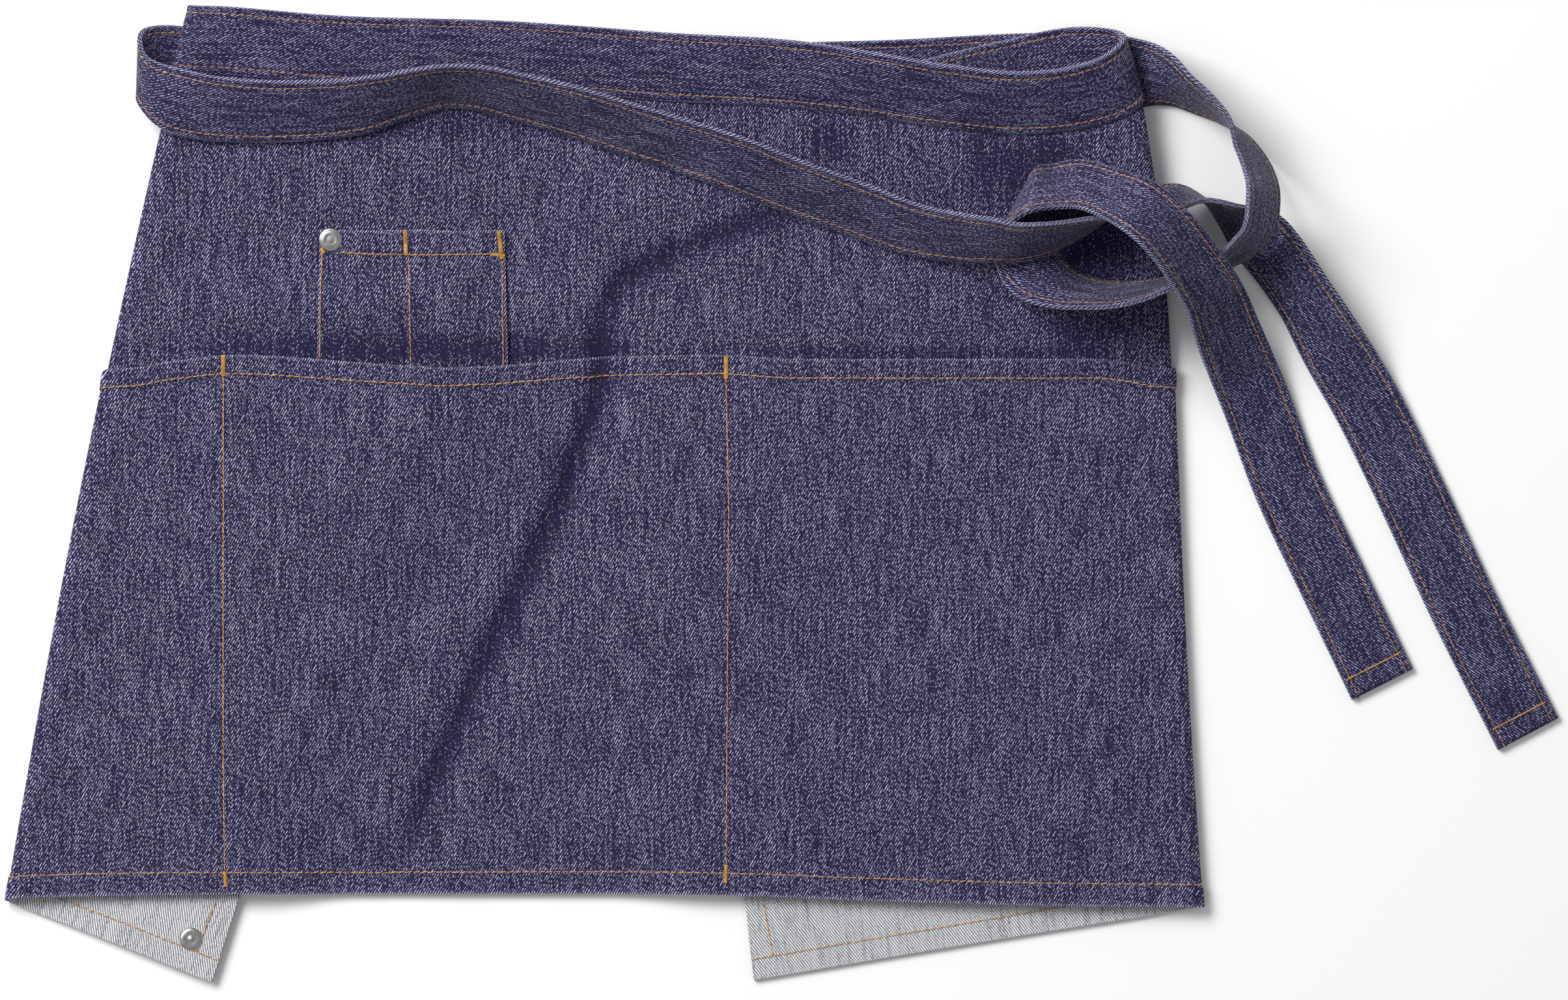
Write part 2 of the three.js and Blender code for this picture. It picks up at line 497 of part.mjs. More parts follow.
function heightOn(grid, x, y) {
  const inFront = (c) => (
    columns[c].station >= frontFirst - heightSpan && columns[c].station <= frontLast + heightSpan
  );
  let highest = 0;
  for (let c = 0; c < grid.length - 1; c += 1) {
    const rowsHere = inFront(c) ? grid[c].length - 1 : 0;
    for (let r = 0; r < rowsHere; r += 1) {
      const [a, b, d, e] = [grid[c][r], grid[c + 1][r], grid[c + 1][r + 1], grid[c][r + 1]];
      highest = Math.max(highest, heightOnFace([a, b, d], x, y), heightOnFace([a, d, e], x, y));
    }
  }
  return highest;
}

// The pen pocket, a small patch over the body, closed at the bottom by the front pocket's edge
function penPocketGrid(height) {
  return Array.from({ length: penPocket.columns + 1 }, (_, c) => (
    Array.from({ length: penPocket.rows + 1 }, (__, r) => {
      const x = THREE.MathUtils.lerp(penPocket.left, penPocket.right, c / penPocket.columns) * spread;
      const y = THREE.MathUtils.lerp(penPocket.bottom, penPocket.top, r / penPocket.rows) * spread;
      const ground = heightOn(bodyUpper, x, y) + clearance;
      return new THREE.Vector3(x, y, ground + penPocket.lift + height);
    })
  ));
}

const penPocketMesh = clothMesh('pen_pocket', penPocketGrid(0), penPocketGrid(clothWall));
const panelMesh = clothMesh('apron_panel', bodyLower, bodyUpper);
const pocketMesh = clothMesh('front_pocket', pocketLower, pocketUpper);

// The waistband, folded over the body's top edge, which stands in its slot
function waistbandOutline() {
  const half = strapWidth / 2;
  const thick = bandThickness / 2;
  const slot = clothWall / 2 + clearance;
  const corners = [
    [-half, -thick], [half, -thick], [half, thick], [-half, thick],
    [-half, slot], [seamDepth - half, slot], [seamDepth - half, -slot], [-half, -slot],
  ];
  return corners.map(([x, y]) => new THREE.Vector2(x, y));
}

const band = sweep(columns.map((column) => column.section), waistbandOutline());
const waistbandMesh = meshOf('waistband', band.points, band.triangles, denim.colour, denim.roughness);

// The ties, flat ribbons with eased edges
function tieOutline() {
  const half = strapWidth / 2;
  const thick = tieThickness / 2;
  const corners = [
    [-half, thick - strapChamfer], [-half, strapChamfer - thick], [strapChamfer - half, -thick],
    [half - strapChamfer, -thick], [half, strapChamfer - thick], [half, thick - strapChamfer],
    [half - strapChamfer, thick], [strapChamfer - half, thick],
  ];
  return corners.map(([x, y]) => new THREE.Vector2(x, y));
}

function tieCentre(row) {
  const way = across(row.bearing, row.lean);
  const place = new THREE.Vector3(row.x * spread, row.y * spread, 0);
  const thick = (tieThickness / 2) * Math.cos(radians(row.lean));
  const heights = [-0.5, 0, 0.5].map((share) => {
    const under = place.clone().addScaledVector(way, share * strapWidth);
    const ground = row.on === 'floor' ? 0 : heightOn(bodyUpper, under.x, under.y) + clearance;
    return ground - share * strapWidth * way.z;
  });
  place.z = Math.max(...heights) + thick + row.lift * strapWidth;
  return place;
}

function tieMesh(name, rows) {
  const centres = rows.map(tieCentre);
  const at = ribbon(centres, rows.map((row) => across(row.bearing, row.lean)));
  const sections = [];
  for (let k = 0; k < rows.length - 1; k += 1) {
    const steps = Math.max(1, Math.ceil(centres[k].distanceTo(centres[k + 1]) / tieStep));
    for (let step = 0; step < steps; step += 1) {
      sections.push(raised(at((k + step / steps) / (rows.length - 1)), tieThickness / 2, 0));
    }
  }
  sections.push(at(1));
  const { points, triangles } = sweep(sections, tieOutline());
  return meshOf(name, points, triangles, denim.colour, denim.roughness);
}

const tieLeftMesh = tieMesh('tie_left', tieLeftRows);
const tieRightMesh = tieMesh('tie_right', tieRightRows);

// Rivets: a cap, a post through both cloths and a burr behind
function rivetMesh(name, place, capFace, burrFace) {
  const up = Math.sign(capFace - burrFace);
  const grip = Math.abs(capFace - burrFace);
  const profile = [
    [0, -rivet.burrHeight], [rivet.burrRadius, -rivet.burrHeight], [rivet.burrRadius, 0], [rivet.post, 0],
    [rivet.post, grip], [rivet.capRadius, grip],
    [rivet.capRadius, grip + rivet.capHeight * rivet.capSideShare],
    [rivet.capRadius * rivet.capCrownRadiusShare, grip + rivet.capHeight * rivet.capCrownShare],
    [0, grip + rivet.capHeight],
  ];
  const lathe = new THREE.LatheGeometry(profile.map(([x, y]) => new THREE.Vector2(x, y)), rivet.sides);
  const metal = new THREE.MeshStandardMaterial({ color: '#b9b4aa', roughness: 0.3, metalness: 1 });
  const mesh = new THREE.Mesh(lathe, metal);
  mesh.rotation.x = (up * Math.PI) / 2;
  mesh.position.set(place.x * spread, place.y * spread, burrFace);
  mesh.name = name;
  return mesh;
}

const penPlace = rivetPlaces.penPocket;
const penHeight = heightOn(bodyUpper, penPlace.x * spread, penPlace.y * spread);
const penCapFace = penHeight + 2 * clearance + penPocket.lift + clothWall;
const penBurrFace = penHeight - clothWall - clearance;
drill(penPocketMesh, penPlace, penHeight, drillRanges.penPocket);
drill(panelMesh, penPlace, penHeight, drillRanges.penPanel);

function flapHeight(place) {
  const near = middle.slice(0, flapColumns).flatMap((column) => column.slice(0, flapRows));
  const spot = new THREE.Vector2(place.x * spread, place.y * spread);
  const ranked = near.map((p) => ({ z: p.z, far: Math.hypot(p.x - spot.x, p.y - spot.y) }));
  ranked.sort((a, b) => a.far - b.far);
  return ranked[0].z;
}

const cornerHeight = flapHeight(rivetPlaces.corner);
const cornerCapFace = cornerHeight - clothWall * 1.5 - 2 * clearance;
const cornerBurrFace = cornerHeight + clothWall / 2 + clearance;
drill(panelMesh, rivetPlaces.corner, cornerHeight, drillRanges.cornerPanel);
drill(pocketMesh, rivetPlaces.corner, cornerHeight, drillRanges.cornerPocket);

apron.add(panelMesh, pocketMesh, penPocketMesh, waistbandMesh, tieLeftMesh, tieRightMesh);
apron.add(rivetMesh('pen_pocket_rivet', penPlace, penCapFace, penBurrFace));
apron.add(rivetMesh('corner_rivet', rivetPlaces.corner, cornerCapFace, cornerBurrFace));

export default apron;
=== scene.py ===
# A denim waist apron that lies on its back, its sides folded behind and its ties half knotted.
# Metres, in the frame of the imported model: +X the apron's right, +Y its waist, +Z up from the floor.
import math

import bpy
import numpy as np
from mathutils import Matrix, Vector
from mathutils.bvhtree import BVHTree


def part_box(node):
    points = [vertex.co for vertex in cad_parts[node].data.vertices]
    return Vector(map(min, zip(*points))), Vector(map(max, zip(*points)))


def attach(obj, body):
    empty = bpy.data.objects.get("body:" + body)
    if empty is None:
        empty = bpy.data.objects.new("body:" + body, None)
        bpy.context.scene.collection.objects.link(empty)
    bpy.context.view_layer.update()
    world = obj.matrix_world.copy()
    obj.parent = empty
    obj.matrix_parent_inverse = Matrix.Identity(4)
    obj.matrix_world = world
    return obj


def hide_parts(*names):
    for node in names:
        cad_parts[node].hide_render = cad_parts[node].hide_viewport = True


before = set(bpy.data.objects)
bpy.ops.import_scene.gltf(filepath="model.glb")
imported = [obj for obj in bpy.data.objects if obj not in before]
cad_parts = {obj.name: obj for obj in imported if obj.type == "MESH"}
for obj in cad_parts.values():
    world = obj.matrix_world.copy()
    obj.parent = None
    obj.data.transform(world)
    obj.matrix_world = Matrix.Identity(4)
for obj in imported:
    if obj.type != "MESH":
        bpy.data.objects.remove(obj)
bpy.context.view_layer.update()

# ---- Camera, floor and light
# The apron is seen straight from above through a long lens, on a plain white floor.
# One wide soft light stands at the upper left, and the pale room fills the shadows.
EYE = (0.0003, -0.00315, 6.0)
VIEW_WIDTH = 0.7224
MID_HEIGHT = 0.008
FLOOR_DROP = 0.0001
FLOOR_HALF = 9
SENSOR = 36
SOFTBOX_AT = (-2.1, 1.75, 2.4)
SOFTBOX_WATTS = 160
ROOM_LIGHT = 0.42


def placed(name, data):
    made = bpy.data.objects.new(name, data)
    bpy.context.scene.collection.objects.link(made)
    return made


def new_material(name):
    material = bpy.data.materials.new(name)
    material.use_nodes = True
    return material, material.node_tree, material.node_tree.nodes["Principled BSDF"]


camera = placed("camera", bpy.data.cameras.new("camera"))
camera.location = EYE
camera.data.sensor_width = SENSOR
camera.data.lens = SENSOR * (EYE[2] - MID_HEIGHT) / VIEW_WIDTH
camera.data.clip_start, camera.data.clip_end = 0.1, 40
bpy.context.scene.camera = camera
bpy.context.scene.view_settings.view_transform = "Standard"

floor_mesh = bpy.data.meshes.new("floor")
floor_sides = ((-1, -1), (1, -1), (1, 1), (-1, 1))
floor_corners = [(x * FLOOR_HALF, y * FLOOR_HALF, -FLOOR_DROP) for x, y in floor_sides]
floor_mesh.from_pydata(floor_corners, [], [(0, 1, 2, 3)])
floor = placed("floor", floor_mesh)
paper, _, shader = new_material("white_floor")
shader.inputs["Base Color"].default_value = (0.93, 0.925, 0.915, 1)
shader.inputs["Roughness"].default_value = 0.8
floor_mesh.materials.append(paper)

softbox = bpy.data.lights.new("softbox", "AREA")
softbox.shape = "RECTANGLE"
softbox.size, softbox.size_y = 2.4, 1.6
softbox.energy = SOFTBOX_WATTS
softbox_holder = placed("softbox", softbox)
softbox_holder.location = SOFTBOX_AT
softbox_holder.rotation_euler = (-softbox_holder.location).to_track_quat("-Z", "Y").to_euler()

room = bpy.data.worlds.new("pale_room")
room.use_nodes = True
room.node_tree.nodes["Background"].inputs["Color"].default_value = (0.97, 0.98, 1.0, 1)
room.node_tree.nodes["Background"].inputs["Strength"].default_value = ROOM_LIGHT
bpy.context.scene.world = room


# ---- Body of the apron
# One cut of raw indigo denim, wider at the hem than at the waist, sewn into the waistband at its top.
# Both sides are folded behind along slanting lines, so their pale wrong side looks up below the hem.
SPREAD = 0.718
STRAP_WIDTH = 0.03175
CLOTH = 0.001
GAP = 0.0003
TIE_THICK = 0.0028
BAND_THICK = 2 * 0.001 + CLOTH + 2 * GAP
SEAM_DEPTH = 0.012
FLAP_LEVEL = 1.5 * CLOTH + GAP
FRONT_LEVEL = FLAP_LEVEL + 2 * 0.0019
BAND_BACK = TIE_THICK + GAP + BAND_THICK / 2
BAND_FRONT = BAND_BACK + 2 * 0.0028
RIVET_CAP = 0.0015
COLUMN_STEP = 0.0030
ROW_STEP = 0.0032
FRONT_HEIGHT = 0.394
FIRST_FRONT, LAST_FRONT = 6, 16
LEFT_FOLD, RIGHT_FOLD = 4, 18

# Along the waistband from the left flap's side edge round the front to the right flap's:
# x, y, rise, lift, bearing, lean, hem x, hem y, hem lift, bow
STATIONS = np.array([
    (-0.1910, 0.2420, 0.0, 0.00, 76, 0, -0.3670, -0.3140, 1.4, 0),
    (-0.2690, 0.2620, 0.0, 0.00, 76, 0, -0.4190, -0.2930, 1.0, 0),
    (-0.3480, 0.2820, 0.0, 0.00, 76, 0, -0.4650, -0.2750, 0.3, -0.003),
    (-0.3810, 0.2900, 0.0, 0.00, 76, 0, -0.4935, -0.2640, 0, -0.005),
    (-0.3850, 0.2915, 0.5, 0.00, 76, 0, -0.4968, -0.2615, 0, -0.005),
    (-0.3810, 0.2910, 1.0, 0.00, 78, 0, -0.4935, -0.2600, 0, -0.005),
    (-0.3580, 0.2900, 1.0, 0.00, 85, 0, -0.4650, -0.2588, 0, -0.004),
    (-0.2850, 0.2840, 1.0, 0.00, 86, 0, -0.3740, -0.2574, 0, 0),
    (-0.1850, 0.2810, 0.9, 0.00, 88, 0, -0.2480, -0.2570, 0, 0),
    (-0.1240, 0.2770, 0.8, 0.00, 87, 0, -0.1700, -0.2570, 0, 0),
    (-0.0720, 0.2730, 0.8, 0.02, 87, 4, -0.1060, -0.2570, 0, 0),
    (-0.0010, 0.2690, 0.8, 0.10, 86, 13, -0.0160, -0.2585, 0, 0),
    (0.0490, 0.2630, 0.8, 0.18, 82, 23, 0.0470, -0.2610, 0, 0),
    (0.0990, 0.2550, 0.8, 0.22, 81, 27, 0.1100, -0.2630, 0, 0),
    (0.1490, 0.2500, 0.8, 0.24, 88, 28, 0.1730, -0.2645, 0, 0.002),
    (0.1830, 0.2525, 0.8, 0.24, 97, 26, 0.2150, -0.2650, 0, 0.004),
    (0.2080, 0.2590, 0.8, 0.27, 105, 22, 0.2470, -0.2652, 0, 0.006),
    (0.2195, 0.2660, 0.9, 0.22, 106, 14, 0.2640, -0.2655, 0, 0.007),
    (0.2235, 0.2720, 0.5, 0.16, 106, 6, 0.2672, -0.2658, 0, 0.007),
    (0.2185, 0.2755, 0.1, 0.09, 104, 1, 0.2640, -0.2662, 0, 0.007),
    (0.1910, 0.2775, 0.0, 0.05, 103, 0, 0.2290, -0.2720, 0, 0.005),
    (0.1290, 0.2650, 0.0, 0.02, 104, 0, 0.1650, -0.2820, 0, 0),
    (0.0250, 0.2385, 0.0, 0.00, 104, 0, 0.0730, -0.2970, 0, 0),
    (-0.0810, 0.2120, 0.0, 0.00, 104, 0, -0.0190, -0.3125, 0, 0),
])
# Soft folds in the front: two ends, width and depth
VALLEYS = [
    (0.130, 0.222, 0.205, 0.190, 0.022, -0.0029),
    (0.175, 0.065, 0.150, 0.020, 0.030, -0.0016),
]
# The long crease runs from under the tie down to the hem; its upper left side is a ridge
CREASE = [
    (0.020, 0.182), (-0.0212, 0.1738), (-0.0605, 0.1592), (-0.0998, 0.1395), (-0.1170, 0.1149),
    (-0.1185, 0.0756), (-0.139, 0.0117), (-0.165, -0.0464), (-0.193, -0.1064), (-0.218, -0.165),
    (-0.242, -0.224), (-0.252, -0.252),
]
# Painted shade in hollows by the pocket's mouth and under and inside the ties: centre, half length, half
# width, strength
PAINTED_SHADE_SPOTS = [
    (-0.255, 0.0925, 0.125, 0.009, 1.1),
    (-0.115, 0.092, 0.020, 0.005, 0.8),
    (0.100, 0.0895, 0.145, 0.0035, 0.8),
    (-0.405, 0.093, 0.030, 0.0035, 0.8),
    (0.155, 0.207, 0.035, 0.022, 1.0),
    (0.195, 0.155, 0.040, 0.020, 1.2),
    (0.200, 0.105, 0.035, 0.012, 0.7),
    (0.028, 0.226, 0.012, 0.012, 0.8),
    (-0.26, 0.235, 0.10, 0.008, 0.5),
]
# The ridge's height, its distance from the crease, its outer and inner flank, and the width of the painted
# shade along its bottom
CREASE_HIGH = 0.0042
CREASE_SIDE = 0.0075
CREASE_FAR, CREASE_NEAR = 0.030, 0.0058
CREASE_SHADE_WIDTH = 0.0055
# A lower ridge across the crease: its share of the height, distance from the first one and flanks
SECOND_RIDGE = (0.35, 0.035, 0.018)
# The front comes down to the floor over about this way in from the flaps' edges, below this height
SAG_IN = 0.065
SAG_TOP, SAG_FADE = 0.55, 0.33
# The body climbs to the waistband from this share of its height
RISE_FROM = 0.62
# The left edge bows out most at half its height, the right one higher up by this power
BOW_POWER = 2.4
# Swells of the front: centre, length, width, turn in degrees and height
SWELLS = [
    (-0.080, -0.085, 0.150, 0.055, 66, 0.0034),
    (-0.330, -0.090, 0.170, 0.070, 80, 0.0022),
    (0.165, -0.090, 0.170, 0.075, 95, 0.0026),
    (-0.215, 0.020, 0.080, 0.040, 60, 0.0018),
    (-0.345, 0.175, 0.090, 0.050, 80, 0.0016),
    (-0.010, 0.090, 0.110, 0.050, 25, 0.0020),
    (0.060, 0.200, 0.060, 0.020, -30, 0.0022),
    (-0.120, 0.170, 0.070, 0.030, 55, 0.0018),
    (-0.275, 0.120, 0.125, 0.019, -2, 0.0042),
    (0.040, 0.020, 0.130, 0.070, 70, 0.0022),
]


def unit(v):
    return v / np.maximum(np.linalg.norm(v, axis=-1, keepdims=True), 1e-12)


def ease(x):
    x = np.clip(x, 0, 1)
    return x * x * (3 - 2 * x)


def bell(away, wide):
    return np.exp(-((away / wide) ** 2))


def toward(bearing, lean):
    """Unit vectors at a bearing in the floor's plane and a lean above it, in degrees."""
    b, e = np.radians(bearing), np.radians(lean)
    return np.stack([np.cos(e) * np.cos(b), np.cos(e) * np.sin(b), np.sin(e)], axis=-1)


def curve(points, at):
    """A smooth line through the points, read at places from 0 to the last point's number."""
    p = np.asarray(points, float)
    at = np.clip(at, 0, len(p) - 1)
    k = np.minimum(np.floor(at).astype(int), len(p) - 2)
    w = (at - k)[:, None]
    p = np.vstack([2 * p[0] - p[1], p, 2 * p[-1] - p[-2]])
    a, b, c, d = (p[k + i] for i in range(4))
    d0, d1, d2 = (np.linalg.norm(n - m, axis=1) ** 0.5 for m, n in ((a, b), (b, c), (c, d)))
    d1 = np.where(d1 < 1e-5, 1, d1)
    d0 = np.where(d0 < 1e-5, d1, d0)[:, None]
    d2 = np.where(d2 < 1e-5, d1, d2)[:, None]
    d1 = d1[:, None]
    out = ((b - a) / d0 - (c - a) / (d0 + d1) + (c - b) / d1) * d1
    into = ((c - b) / d1 - (d - b) / (d1 + d2) + (d - c) / d2) * d1
    return b + out * w + (-3 * b + 3 * c - 2 * out - into) * w**2 + (2 * b - 2 * c + out + into) * w**3


def lengths_along(points):
    """Distance from the first point to each point of a line."""
    return np.concatenate([[0], np.cumsum(np.linalg.norm(np.diff(points, axis=0), axis=1))])


def ribbon(centres, ways, at, half_thick, under):
    """Sections of a strap: its middle, the way from edge to edge, and the way its face looks."""
    middle, way = curve(centres, at), unit(curve(ways, at))
    face = unit(np.cross(curve(centres, at + 2e-3) - curve(centres, at - 2e-3), way))
    lowest = middle[:, 2] - np.abs(way[:, 2]) * STRAP_WIDTH / 2 - np.abs(face[:, 2]) * half_thick
    middle[:, 2] += np.maximum(0, under - lowest)
    return middle, way, face


rise = STATIONS[:, 2]
band_centres = np.column_stack([
    STATIONS[:, :2] * SPREAD,
    BAND_BACK + (BAND_FRONT - BAND_BACK) * rise + STATIONS[:, 3] * STRAP_WIDTH,
])
band_ways = toward(STATIONS[:, 4], STATIONS[:, 5])
hem_places = np.column_stack([
    STATIONS[:, 6:8] * SPREAD,
    FLAP_LEVEL + (FRONT_LEVEL - FLAP_LEVEL) * rise + STATIONS[:, 8] * RIVET_CAP,
])
bow_places = np.column_stack([np.arange(len(STATIONS)) * 0.001, STATIONS[:, 9] * SPREAD, rise * 0])


def columns_at(at):
    """The lower end, waist end and top end of the cloth's columns at places along the waistband."""
    middle, way, face = ribbon(band_centres, band_ways, at, BAND_THICK / 2, TIE_THICK + GAP)
    waist = middle - way * STRAP_WIDTH / 2
    top = middle + way * (SEAM_DEPTH - GAP - STRAP_WIDTH / 2)
    hem = curve(hem_places, at)
    hem[:, 2] = np.maximum(hem[:, 2], FLAP_LEVEL)
    return hem, waist, top, face, curve(bow_places, at)[:, 1]


edge_hem, edge_waist = (x[[0, -1]] for x in columns_at(np.array([0.0, len(STATIONS) - 1.0]))[:2])


def front_sag(x, v):
    """1 where the front has come down to the floor between the flaps behind it."""
    left = edge_hem[0, 0] + (edge_waist[0, 0] - edge_hem[0, 0]) * v
    right = edge_hem[1, 0] + (edge_waist[1, 0] - edge_hem[1, 0]) * v
    inside = np.minimum(x - left, right - x) / (SAG_IN * SPREAD) - 0.4
    return ease(inside) * (1 - ease((v - SAG_TOP) / SAG_FADE))


def front_weight(at):
    return ease((at - FIRST_FRONT + 0.5) / 1.5) * ease((LAST_FRONT - at + 0.5) / 1.5)


def swell(x, y):
    """Height of the soft swells of the front, in metres."""
    total = 0
    for cx, cy, long, wide, turn, high in SWELLS:
        c, s = math.cos(math.radians(turn)), math.sin(math.radians(turn))
        dx, dy = x / SPREAD - cx, y / SPREAD - cy
        total = total + high * np.exp(-(((dx * c + dy * s) / long) ** 2) - ((dy * c - dx * s) / wide) ** 2)
    ripple = np.sin(x * 46 + 1.3 * np.sin(y * 31)) * np.sin(y * 38 + 1.1 * np.sin(x * 27 + 1))
    return total + 0.00035 * ripple


def valley(x, y):
    total = 0
    for x1, y1, x2, y2, wide, deep in VALLEYS:
        dx, dy = (x2 - x1) * SPREAD, (y2 - y1) * SPREAD
        ox, oy = x - x1 * SPREAD, y - y1 * SPREAD
        share = np.clip((ox * dx + oy * dy) / (dx * dx + dy * dy), 0, 1)
        away = np.hypot(ox - share * dx, oy - share * dy) / (wide * SPREAD)
        total = total + deep * np.exp(-away * away)
    return total


def crease_and_painted_shade(x, y, painted_shade=False):
    """Height of the ridge beside the long crease, or the painted shade along its bottom for the cloth's
    colour.
    """
    places = curve(np.array(CREASE) * SPREAD, np.linspace(0, len(CREASE) - 1, 60))
    starts = lengths_along(places)
    gaps = np.diff(starts)
    nearest, side, run = np.full(np.shape(x), 9.0), np.zeros(np.shape(x)), np.zeros(np.shape(x))
    for place, after, gap, start in zip(places[:-1], places[1:], gaps, starts, strict=False):
        way = (after - place) / gap
        ox, oy = x - place[0], y - place[1]
        share = np.clip(ox * way[0] + oy * way[1], 0, gap)
        away = np.hypot(ox - share * way[0], oy - share * way[1])
        closer = away < nearest
        nearest = np.where(closer, away, nearest)
        side = np.where(closer, np.sign(ox * way[1] - oy * way[0]), side)
        run = np.where(closer, start + share, run)
    off = nearest * side - CREASE_SIDE
    # Painted shade: darkens the colour along the crease's bottom
    if painted_shade:
        return bell(nearest * side + 0.001, CREASE_SHADE_WIDTH) * ease(run / 0.03) * ease((starts[-1] - run) / 0.06)
    share, beside, wide = SECOND_RIDGE
    ridge = bell(off, np.where(off > 0, CREASE_FAR, CREASE_NEAR)) + share * bell(off + beside, wide)
    return CREASE_HIGH * ridge * ease(run / 0.03) * ease((starts[-1] - run) / 0.05 + 0.25)


def painted_spot_shade(x, y):
    """Strength of the painted shade at places given as shares of the spread."""
    return sum(
        deep * np.exp(-(((x - cx) / long) ** 4) - ((y - cy) / wide) ** 2)
        for cx, cy, long, wide, deep in PAINTED_SHADE_SPOTS
    )


def body_points(at, v):
    """Middle of the cloth at places along the waistband (one each) and shares of the height (a row each)."""
    hem, waist, top, face, bow = columns_at(at)
    hem, waist, bow = hem[:, None], waist[:, None], bow[:, None]
    share = v[..., None]
    point = hem * (1 - share) + waist * share
    point[..., 2] = hem[..., 2] + (waist[..., 2] - hem[..., 2]) * ease((v - RISE_FROM) / (1 - RISE_FROM))
    point[..., 0] += bow * np.sin(math.pi * np.where(bow > 0, v**BOW_POWER, v))
    weight = front_weight(at)[:, None]
    sag = front_sag(point[..., 0], v)
    ends = ease(v / 0.04) * 0.6 + 0.4
    drop = (point[..., 2] - CLOTH / 2 - 0.0004) * sag
    fold = valley(point[..., 0], point[..., 1]) * ease((1 - v) / 0.1) * (1 - sag)
    lift = swell(point[..., 0], point[..., 1]) + crease_and_painted_shade(point[..., 0], point[..., 1])
    lift = lift * ease((1 - v) / 0.12) * ends
    point[..., 2] += weight * (fold + lift - drop)
    point[..., 2] = np.maximum(point[..., 2], CLOTH / 2 + 0.0002)
    return point


def grid_normals(grid):
    along = np.gradient(grid, axis=0)
    up = np.gradient(grid, axis=1)
    return unit(np.cross(along, up))


def laid_flat(at, grid):
    """The cloth's own flat cut in metres: the flaps turned back over their fold lines."""
    flat = grid[..., :2].copy()
    for first, line, last in ((0, LEFT_FOLD, LEFT_FOLD), (RIGHT_FOLD, RIGHT_FOLD, 99)):
        hem, waist = (x[0, :2] for x in columns_at(np.array([float(line)]))[:2])
        way = unit(waist - hem)
        rows = (at >= first) & (at <= last)
        off = flat[rows] - hem
        flat[rows] = hem + 2 * (off @ way)[..., None] * way - off
    return flat


def marked(mesh, marks, copies=1):
    """Stores numbers on a mesh's points: wear along edges, where a seam puckers the cloth, and painted
    shade.
    """
    for name, values in marks.items():
        values = np.concatenate([np.ravel(values)] * copies).astype(np.float32)
        mesh.attributes.new(name, "FLOAT", "POINT").data.foreach_set("value", values)


def closed_sheet(name, outer, inner, flat, materials, marks):
    """A cloth with two faces and a rim, from two grids of points; its flat cut is its UV map."""
    n, m = outer.shape[:2]
    number = np.arange(n * m).reshape(n, m)
    back = number + n * m

    def quads(a, b, c, d):
        return np.stack([a, b, c, d], axis=-1).reshape(-1, 4)

    front = quads(number[:-1, :-1], number[1:, :-1], number[1:, 1:], number[:-1, 1:])
    behind = quads(back[:-1, :-1], back[:-1, 1:], back[1:, 1:], back[1:, :-1])
    rim = np.vstack([
        quads(back[:-1, 0], back[1:, 0], number[1:, 0], number[:-1, 0]),
        quads(back[1:, -1], back[:-1, -1], number[:-1, -1], number[1:, -1]),
        quads(back[0, 1:], back[0, :-1], number[0, :-1], number[0, 1:]),
        quads(back[-1, :-1], back[-1, 1:], number[-1, 1:], number[-1, :-1]),
    ])
    points = np.vstack([outer.reshape(-1, 3), inner.reshape(-1, 3)])
    mesh = bpy.data.meshes.new(name)
    mesh.from_pydata(points.tolist(), [], np.vstack([front, behind, rim]).tolist())
    for material in materials:
        mesh.materials.append(material)
    faces = np.zeros(len(mesh.polygons), np.int32)
    faces[len(front):len(front) + len(behind)] = len(materials) - 1
    mesh.polygons.foreach_set("material_index", faces)
    mesh.polygons.foreach_set("use_smooth", np.ones(len(mesh.polygons), bool))
    corner = np.zeros(len(mesh.loops), np.int32)
    mesh.loops.foreach_get("vertex_index", corner)
    both = np.vstack([flat.reshape(-1, 2)] * 2)
    mesh.uv_layers.new(name="cut").data.foreach_set("uv", both[corner].ravel())
    marked(mesh, marks, copies=2)
    mesh.set_sharp_from_angle(angle=math.radians(55))
    return placed(name, mesh)


